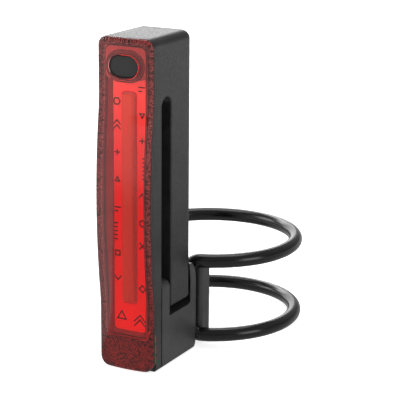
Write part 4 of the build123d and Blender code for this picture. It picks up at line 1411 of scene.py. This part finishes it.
@dataclass
class Window:
    """What shows through the cover: the printed film, the lamp strip and the key's surround."""

    film_depth: float = -36.21
    seam: SeamLine = SeamLine()
    key_z: float = KEY_Z
    opening: Outline = Outline(4.86, 6.94, 68.46, 1.46)
    mat: Outline = Outline(3.7, 8.0, 68.0, 0.8)
    frame_wall: float = 0.03
    frame_gap: float = 0.012
    frame_step: float = 0.5
    strip: Outline = Outline(1.22, 14.5, 58.4, 0.3)
    # Inset and rise of the gel strip's loops, from its foot to its flat top.
    strip_profile: tuple[Flat, ...] = (
        (0.0, 0.0),
        (0.0, 0.86),
        (0.05, 0.98),
        (0.15, 1.05),
        (0.8, 1.07),
        (1.15, 1.07),
    )
    strip_sink: float = 0.01
    strip_step: float = 0.8
    dam_edges: Flat = (0.52, 0.34)
    dam_height: float = 0.14
    dam_gap: float = 0.002
    bezel: Outline = Outline(4.5, 61.5, 68.1, 1.2)
    hole: Outline = KEY_HOLE
    bezel_front: float = -37.68
    bezel_back: float = -37.36
    bezel_recess: float = 0.02
    # Inner and outer distance of the grey rings from the hole.
    ring_edges: tuple[Flat, ...] = ((0.04, 0.3), (0.38, 0.62), (0.7, 0.96))
    ring_proud: float = 0.005
    ring_depth: float = 0.03
    ring_step: float = 0.4
    hole_shade_edges: Flat = (-0.002, -0.035)
    hole_shade_front: float = -1.85
    hole_shade_length: float = 1.3
    # Heights between which a painted highlight line runs along the cover's lower right edge at the
    # seam.
    seam_highlights: tuple[tuple[str, float, float], ...] = (
        ("seam_highlight_low", 1.9, 3.6),
        ("seam_highlight_middle", 4.2, 6.1),
        ("seam_highlight_high", 6.7, 8.1),
    )
    seam_highlight_x: float = 6.36
    # Distances out from the window at which the painted highlight along its lower edge runs, and the
    # corners of that line from its right and lower end.
    highlight_side: float = 0.2
    highlight_drop: float = 0.15
    highlight_start: float = 0.6
    highlight_bend: tuple[Flat, ...] = ((-1.2, 0.0), (-0.5, 0.3), (0.0, 2.2))
    edge_depth: float = -0.16
    edge_radius: float = 0.07
    print_gap: float = 0.004
    print_front: float = 0.03
    line_width: float = 0.28
    # Name, side, lowest height and number of the ticks in each row.
    tick_rows: tuple[tuple[str, int, float, int], ...] = (
        ("left_ticks", -1, 27.6, 5),
        ("right_ticks", 1, 41.0, 6),
    )
    tick_x: float = 3.75
    tick_length: float = 0.7
    tick_pitch: float = 0.85

    def ring(
        self,
        name: str,
        outlines: tuple[Outline, Outline],
        depths: Flat,
        look: tuple[Finish, str],
        replaced: str | None = None,
    ) -> None:
        """Adds a flat ring between two outlines.

        Args:
            name: the ring's name.
            outlines: the outer and the inner outline.
            depths: its front and back depth.
            look: its finish and its slot.
            replaced: the node that it stands for, if any.
        """
        (outer, inner), (front, back), (finish, slot) = outlines, depths, look
        rays = outer.rays(inner.middle, self.ring_step)
        corners = ((outer, back), (outer, front), (inner, front), (inner, back))
        loops = [outline.loop(inner.middle, rays, flat(depth)) for outline, depth in corners]
        place(new_object(name, loft_mesh(name, loops), finish), Body.LIGHT, slot, replaced)

    def build_bezel(self) -> None:
        """Makes the plate behind the key's collar and the three grey rings of painted groove shade
        on it.
        """
        depths = (self.bezel_front + self.bezel_recess, self.bezel_back)
        look = (BEZEL_PLATE, "bezel_red")
        self.ring("key_surround", (self.bezel, self.hole), depths, look, "button_bezel")
        front = self.bezel_front - self.ring_proud
        for number, (near, far) in enumerate(self.ring_edges):
            outlines = (self.hole.grown(far), self.hole.grown(near))
            depths = (front, front + self.ring_depth)
            self.ring(f"collar_shade_ring_{number}", outlines, depths, (PAINTED_SHADE_GREY, "bezel_red"))

    def build_frame(self) -> None:
        """Makes the sloping wall between the cover's hollow and the film."""
        rays = self.opening.rays(self.key_z, self.frame_step)
        wall, film = self.seam.plane(-self.frame_wall), flat(self.film_depth - self.frame_gap)
        lip = self.opening.grown(-self.frame_wall)
        corners = ((self.opening, film), (self.opening, wall), (lip, wall), (self.mat, film))
        loops = [outline.loop(self.key_z, rays, surface) for outline, surface in corners]
        frame = new_object("light_frame", loft_mesh("light_frame", loops), FRAME_WALL)
        place(frame, Body.LIGHT, "lens_red")

    def build_hole_shade(self) -> None:
        """Makes the thin dark sheet of painted shade inside the key's hole."""
        front = self.seam.at(self.key_z) + self.hole_shade_front
        outer, inner = (self.hole.grown(edge) for edge in self.hole_shade_edges)
        depths = (front, front + self.hole_shade_length)
        self.ring("hole_painted_shade", (outer, inner), depths, (PAINTED_SHADE_GREY, "bezel_red"))

    def build_edge_highlights(self) -> None:
        """Makes the thin glowing lines of painted highlight at the window's and the seam's lower
        ends.
        """
        right = self.opening.half_width + self.highlight_side
        low = self.opening.bottom - self.highlight_drop
        bend = [(right + x, low + z) for x, z in self.highlight_bend]
        lines = {"window_edge_highlight": [(-right + self.highlight_start, low)] + bend}
        for name, start, end in self.seam_highlights:
            lines[name] = [(self.seam_highlight_x, start), (self.seam_highlight_x, end)]
        surface = self.seam.plane(self.edge_depth)
        for name, path in lines.items():
            points = [(x, surface(x, z), z) for x, z in path]
            line = swept(name, points, PAINTED_EDGE_HIGHLIGHT, self.edge_radius, LINE_SIDES)
            place(line, Body.LIGHT, "lens_red")

    def build_bar(self) -> None:
        """Makes the raised gel strip with soft upper edges."""
        rays = self.strip.rays(self.strip.middle, self.strip_step)
        loops = []
        for inset, rise in self.strip_profile:
            surface = flat(self.film_depth + self.strip_sink - rise)
            loops.append(self.strip.grown(-inset).loop(self.strip.middle, rays, surface))
        mesh = loft_mesh("gel_strip", loops, SOFT_SHARP_DEG, capped=True)
        bar = new_object("gel_strip", mesh, BAR_GEL_PAINTED_GLOW)
        place(bar, Body.LIGHT, "diffuser_white", "led_strip")

    def build_seat(self) -> None:
        """Makes the thin clear dam that runs round the lamp strip."""
        outer, inner = (self.strip.grown(edge) for edge in self.dam_edges)
        depths = (self.film_depth - self.dam_height, self.film_depth - self.dam_gap)
        self.ring("strip_dam", (outer, inner), depths, (SEAT_LINE, "diffuser_white"))

    def stroke(self, path: list[Flat], closed: bool = False) -> tuple[list[Point], list[Face]]:
        """Makes thin flat bars along a path on the film.

        Args:
            path: points as x and z.
            closed: whether the last point joins the first.

        Returns:
            Corners and faces.
        """
        points: list[Point] = []
        faces: list[Face] = []
        pairs = list(zip(path, path[1:])) + ([(path[-1], path[0])] if closed else [])
        half = self.line_width / 2
        for (x0, z0), (x1, z1) in pairs:
            length = math.dist((x0, z0), (x1, z1))
            ux, uz = (x1 - x0) / length * half, (z1 - z0) / length * half
            start, end = (x0 - ux, z0 - uz), (x1 + ux, z1 + uz)
            b = len(points)
            for gap in (self.print_front, self.print_gap):
                for (x, z), side in ((start, -1), (start, 1), (end, 1), (end, -1)):
                    points.append((x - uz * side, self.film_depth - gap, z + ux * side))
            faces += [(b, b + 1, b + 2, b + 3), (b + 4, b + 7, b + 6, b + 5)]
            faces += [(b, b + 4, b + 5, b + 1), (b + 1, b + 5, b + 6, b + 2)]
            faces += [(b + 2, b + 6, b + 7, b + 3), (b + 3, b + 7, b + 4, b)]
        return points, faces

    def build_prints(self) -> None:
        """Makes the generic printed marks on both sides of the lamp strip."""
        points: list[Point] = []
        faces: list[Face] = []
        for path, closed in FILM_MARKS:
            more_points, more_faces = self.stroke(path, closed)
            faces += [tuple(i + len(points) for i in face) for face in more_faces]
            points += more_points
        mesh = finished_mesh("film_marks", points, faces, FLAT_SHARP_DEG)
        place(new_object("film_marks", mesh, PRINT_INK), Body.LIGHT, "reflector")
        for name, side, z, count in self.tick_rows:
            x = side * self.tick_x
            points, faces = self.stroke([(x, 0.0), (x - side * self.tick_length, 0.0)])
            mesh = finished_mesh(name, points, faces, FLAT_SHARP_DEG)
            ticks = new_object(name, mesh, PRINT_INK)
            ticks.data.transform(Matrix.Translation((0, 0, z * MM)))
            run_tree(ticks, row_tree(PRINT_INK), {"Count": count, "Pitch": self.tick_pitch * MM})
            place(ticks, Body.LIGHT, "reflector")

    def build(self) -> None:
        """Makes everything that shows behind the cover."""
        self.build_bezel()
        self.build_frame()
        self.build_hole_shade()
        self.build_edge_highlights()
        self.build_bar()
        self.build_seat()
        self.build_prints()


@dataclass
class Key:
    """Push button: an oval elastomer cap with a soft edge, a slight dome and a hidden flange."""

    centre_z: float = KEY_Z
    half_length: float = 3.3
    half_height: float = 2.2
    front: float = -38.73
    flange_front: float = -37.31
    back: float = -37.06
    flange: float = 0.5
    edge: float = 0.16
    edge_steps: int = 8
    dome: float = 0.08
    dome_steps: int = 12
    arc_steps: int = 24
    least_radius: float = 0.02

    def loop(self, grow: float, depth: float) -> list[Point]:
        """Makes an oval loop.

        Args:
            grow: distance outside the cap's outline.
            depth: the loop's depth.

        Returns:
            The loop's points.
        """
        radius = max(self.half_height + grow, self.least_radius)
        straight = self.half_length - self.half_height
        points = []
        for side in (1, -1):
            for k in range(self.arc_steps + 1):
                turn = math.radians(-90 * side + 180 * k / self.arc_steps)
                x = side * straight + radius * math.cos(turn)
                points.append((x, depth, self.centre_z + radius * math.sin(turn)))
        return points

    def build(self) -> None:
        """Makes the cap."""
        loops = [
            self.loop(self.flange, self.back),
            self.loop(self.flange, self.flange_front),
            self.loop(0, self.flange_front),
        ]
        for inset, drop in rounding(self.edge, self.edge_steps):
            loops.append(self.loop(-inset, self.front + self.dome + drop))
        reach = self.half_height - self.edge
        for part in (k / self.dome_steps for k in range(1, self.dome_steps)):
            depth = self.front + self.dome * (1 - part) ** 2
            loops.append(self.loop(-self.edge - reach * part, depth))
        mesh = loft_mesh("key_cap", loops, SOFT_SHARP_DEG, capped=True)
        cap = new_object("key_cap", mesh, BUTTON_ELASTOMER)
        place(cap, Body.BUTTON, "button_black", "button_cap")


@dataclass
class Strap:
    """Moulded silicone loop with two rings round the post and an upright run at each side."""

    ring_radius: float = 19.0
    ring_steps: int = 44
    shoulder_radius: float = 10.0
    shoulder_start: float = math.radians(28.5)
    shoulder_end: float = math.radians(14.0)
    shoulder_steps: int = 6
    bend: float = 3.2
    bend_steps: int = 12
    cord: float = 3.08
    cord_steps: int = 32
    upper: float = 19.2
    lower: float = 2.37

    def half_ring(self, height: float, side: int) -> list[Point]:
        """Gives the points from the ring's far side to the start of the upright run.

        Args:
            height: the ring's level.
            side: 1 where the run goes up from it, -1 where it goes down.

        Returns:
            Points on the positive X side.
        """
        offset = self.ring_radius - self.shoulder_radius
        start, end = self.shoulder_start, self.shoulder_end
        centre_x, centre_y = offset * math.sin(start), -offset * math.cos(start)
        points: list[Point] = []
        for k in range(self.ring_steps):
            angle = math.pi + (start - math.pi) * k / self.ring_steps
            x, y = self.ring_radius * math.sin(angle), -self.ring_radius * math.cos(angle)
            points.append((x, y, height))
        for k in range(self.shoulder_steps + 1):
            angle = start + (end - start) * k / self.shoulder_steps
            x = centre_x + self.shoulder_radius * math.sin(angle)
            y = centre_y - self.shoulder_radius * math.cos(angle)
            points.append((x, y, height))
        x, y, _ = points.pop()
        for k in range(self.bend_steps + 1):
            angle = math.pi / 2 * k / self.bend_steps
            run, drop = self.bend * math.sin(angle), self.bend * (1 - math.cos(angle))
            points.append((x - run * math.cos(end), y - run * math.sin(end), height + side * drop))
        return points

    def build(self) -> None:
        """Sweeps the round cord along the closed loop."""
        right = self.half_ring(self.upper, -1) + self.half_ring(self.lower, 1)[::-1]
        left = [(-x, y, z) for x, y, z in right[::-1]]
        path, radius = right + left[1:-1], self.cord / 2
        strap = swept("silicone_strap", path, STRAP_SILICONE, radius, self.cord_steps, closed=True)
        place(strap, Body.MOUNT, "strap_rubber", "strap")


@dataclass
class SaddlePad:
    """Rubber pad that the post leans on: a curved sheet with cross ribs."""

    axis_y: float = 1.354
    face_radius: float = 15.97
    back_radius: float = 16.5
    outline: Outline = Outline(4.8, 3.8, 15.8, 1.5)
    insets: tuple[float, ...] = (4.75, 3.6, 2.4, 1.2)
    face_edge: float = 0.1
    ribs: int = 9
    rib_top_radius: float = 15.75
    rib_end: float = 0.7
    rib_pitch: float = 1.25
    rib_radius: float = 0.32
    rib_steps: int = 16
    rib_sides: int = 12
    step: float = 0.6

    def curve(self, radius: float) -> Depth:
        """Gives the upright round surface of a radius about the post's axis."""
        return lambda x, z: self.axis_y - math.sqrt(radius**2 - x * x)

    def build(self) -> None:
        """Makes the sheet and its ribs."""
        middle = self.outline.middle
        rays = self.outline.rays(middle, self.step)
        rows = [(inset, self.back_radius) for inset in (*self.insets, 0)]
        rows.append((0, self.face_radius + self.face_edge))
        rows += [(inset, self.face_radius) for inset in (self.face_edge, *self.insets[::-1])]
        loops = []
        for inset, radius in rows:
            loops.append(self.outline.grown(-inset).loop(middle, rays, self.curve(radius)))
        pad = new_object("post_pad", loft_mesh("post_pad", loops, capped=True), PAD_RUBBER)
        place(pad, Body.MOUNT, "pad_rubber", "saddle_pad")
        reach = self.outline.half_width - self.rib_end
        start = middle - self.rib_pitch * (self.ribs - 1) / 2
        surface = self.curve(self.rib_top_radius + self.rib_radius)
        across = [-reach + 2 * reach * k / self.rib_steps for k in range(self.rib_steps + 1)]
        path = [(x, surface(x, start), start) for x in across]
        ribs = swept("post_pad_ribs", path, PAD_RUBBER, self.rib_radius, self.rib_sides)
        sizes = {"Count": self.ribs, "Pitch": self.rib_pitch * MM}
        run_tree(ribs, row_tree(PAD_RUBBER), sizes)
        place(ribs, Body.MOUNT, "pad_rubber")


@dataclass
class SoftenedNode:
    """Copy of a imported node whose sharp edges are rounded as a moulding's are."""

    node: str
    body: Body
    slot: str
    edge_mm: float = 0.12
    merge_mm: float = 0.0005
    flat_deg: float = 0.3
    sharp_deg: float = 40.0
    rings: int = 2

    def build(self) -> None:
        """Makes the copy, rounds it and lets it stand for the node."""
        source = bpy.data.objects[self.node]
        copy = bmesh.new()
        copy.from_mesh(source.data)
        bmesh.ops.remove_doubles(copy, verts=copy.verts, dist=self.merge_mm * MM)
        limit = math.radians(self.flat_deg)
        bmesh.ops.dissolve_limit(copy, angle_limit=limit, verts=copy.verts, edges=copy.edges)
        mesh = bpy.data.meshes.new(self.node + "_moulded")
        copy.to_mesh(mesh)
        copy.free()
        for name in ("custom_normal", "sharp_edge", "sharp_face"):
            if name in mesh.attributes:
                mesh.attributes.remove(mesh.attributes[name])
        mesh.shade_smooth()
        mesh.set_sharp_from_angle(angle=math.radians(self.sharp_deg))
        piece = new_object(self.node + "_moulded", mesh, NODE_FINISHES[self.node])
        bevel = piece.modifiers.new("soft_edges", "BEVEL")
        bevel.width = self.edge_mm * MM
        bevel.segments = self.rings
        bevel.limit_method = "ANGLE"
        bevel.angle_limit = math.radians(self.sharp_deg)
        weigh = piece.modifiers.new("flat_faces_lead", "WEIGHTED_NORMAL")
        weigh.keep_sharp = True
        place(baked(piece), self.body, self.slot, self.node)


def dress_nodes(frame: dict) -> None:
    """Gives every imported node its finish.
    """
    for name, node in frame["nodes"].items():
        finish = NODE_FINISHES[name]
        material = finish.material()
        if not node.data.materials:
            node.data.materials.append(material)
        for slot in node.material_slots:
            slot.material = material
        LOG.info("node %s: %s", name, finish.name)


def main() -> None:
    """Builds the camera, the studio and the light."""
    logging.basicConfig(level=logging.INFO, format="%(message)s")
    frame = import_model()
    PhotoCamera().place()
    Studio().build()
    dress_nodes(frame)
    Cover().build()
    Window().build()
    Key().build()
    Strap().build()
    SaddlePad().build()
    for node, body, slot in (
        ("housing", Body.LIGHT, "housing_black"),
        ("mount_cradle", Body.MOUNT, "mount_black"),
        ("end_cap", Body.LIGHT, "housing_black"),
        ("rest_pad", Body.MOUNT, "pad_rubber"),
    ):
        SoftenedNode(node, body, slot).build()


if __name__ == "__main__":
    main()
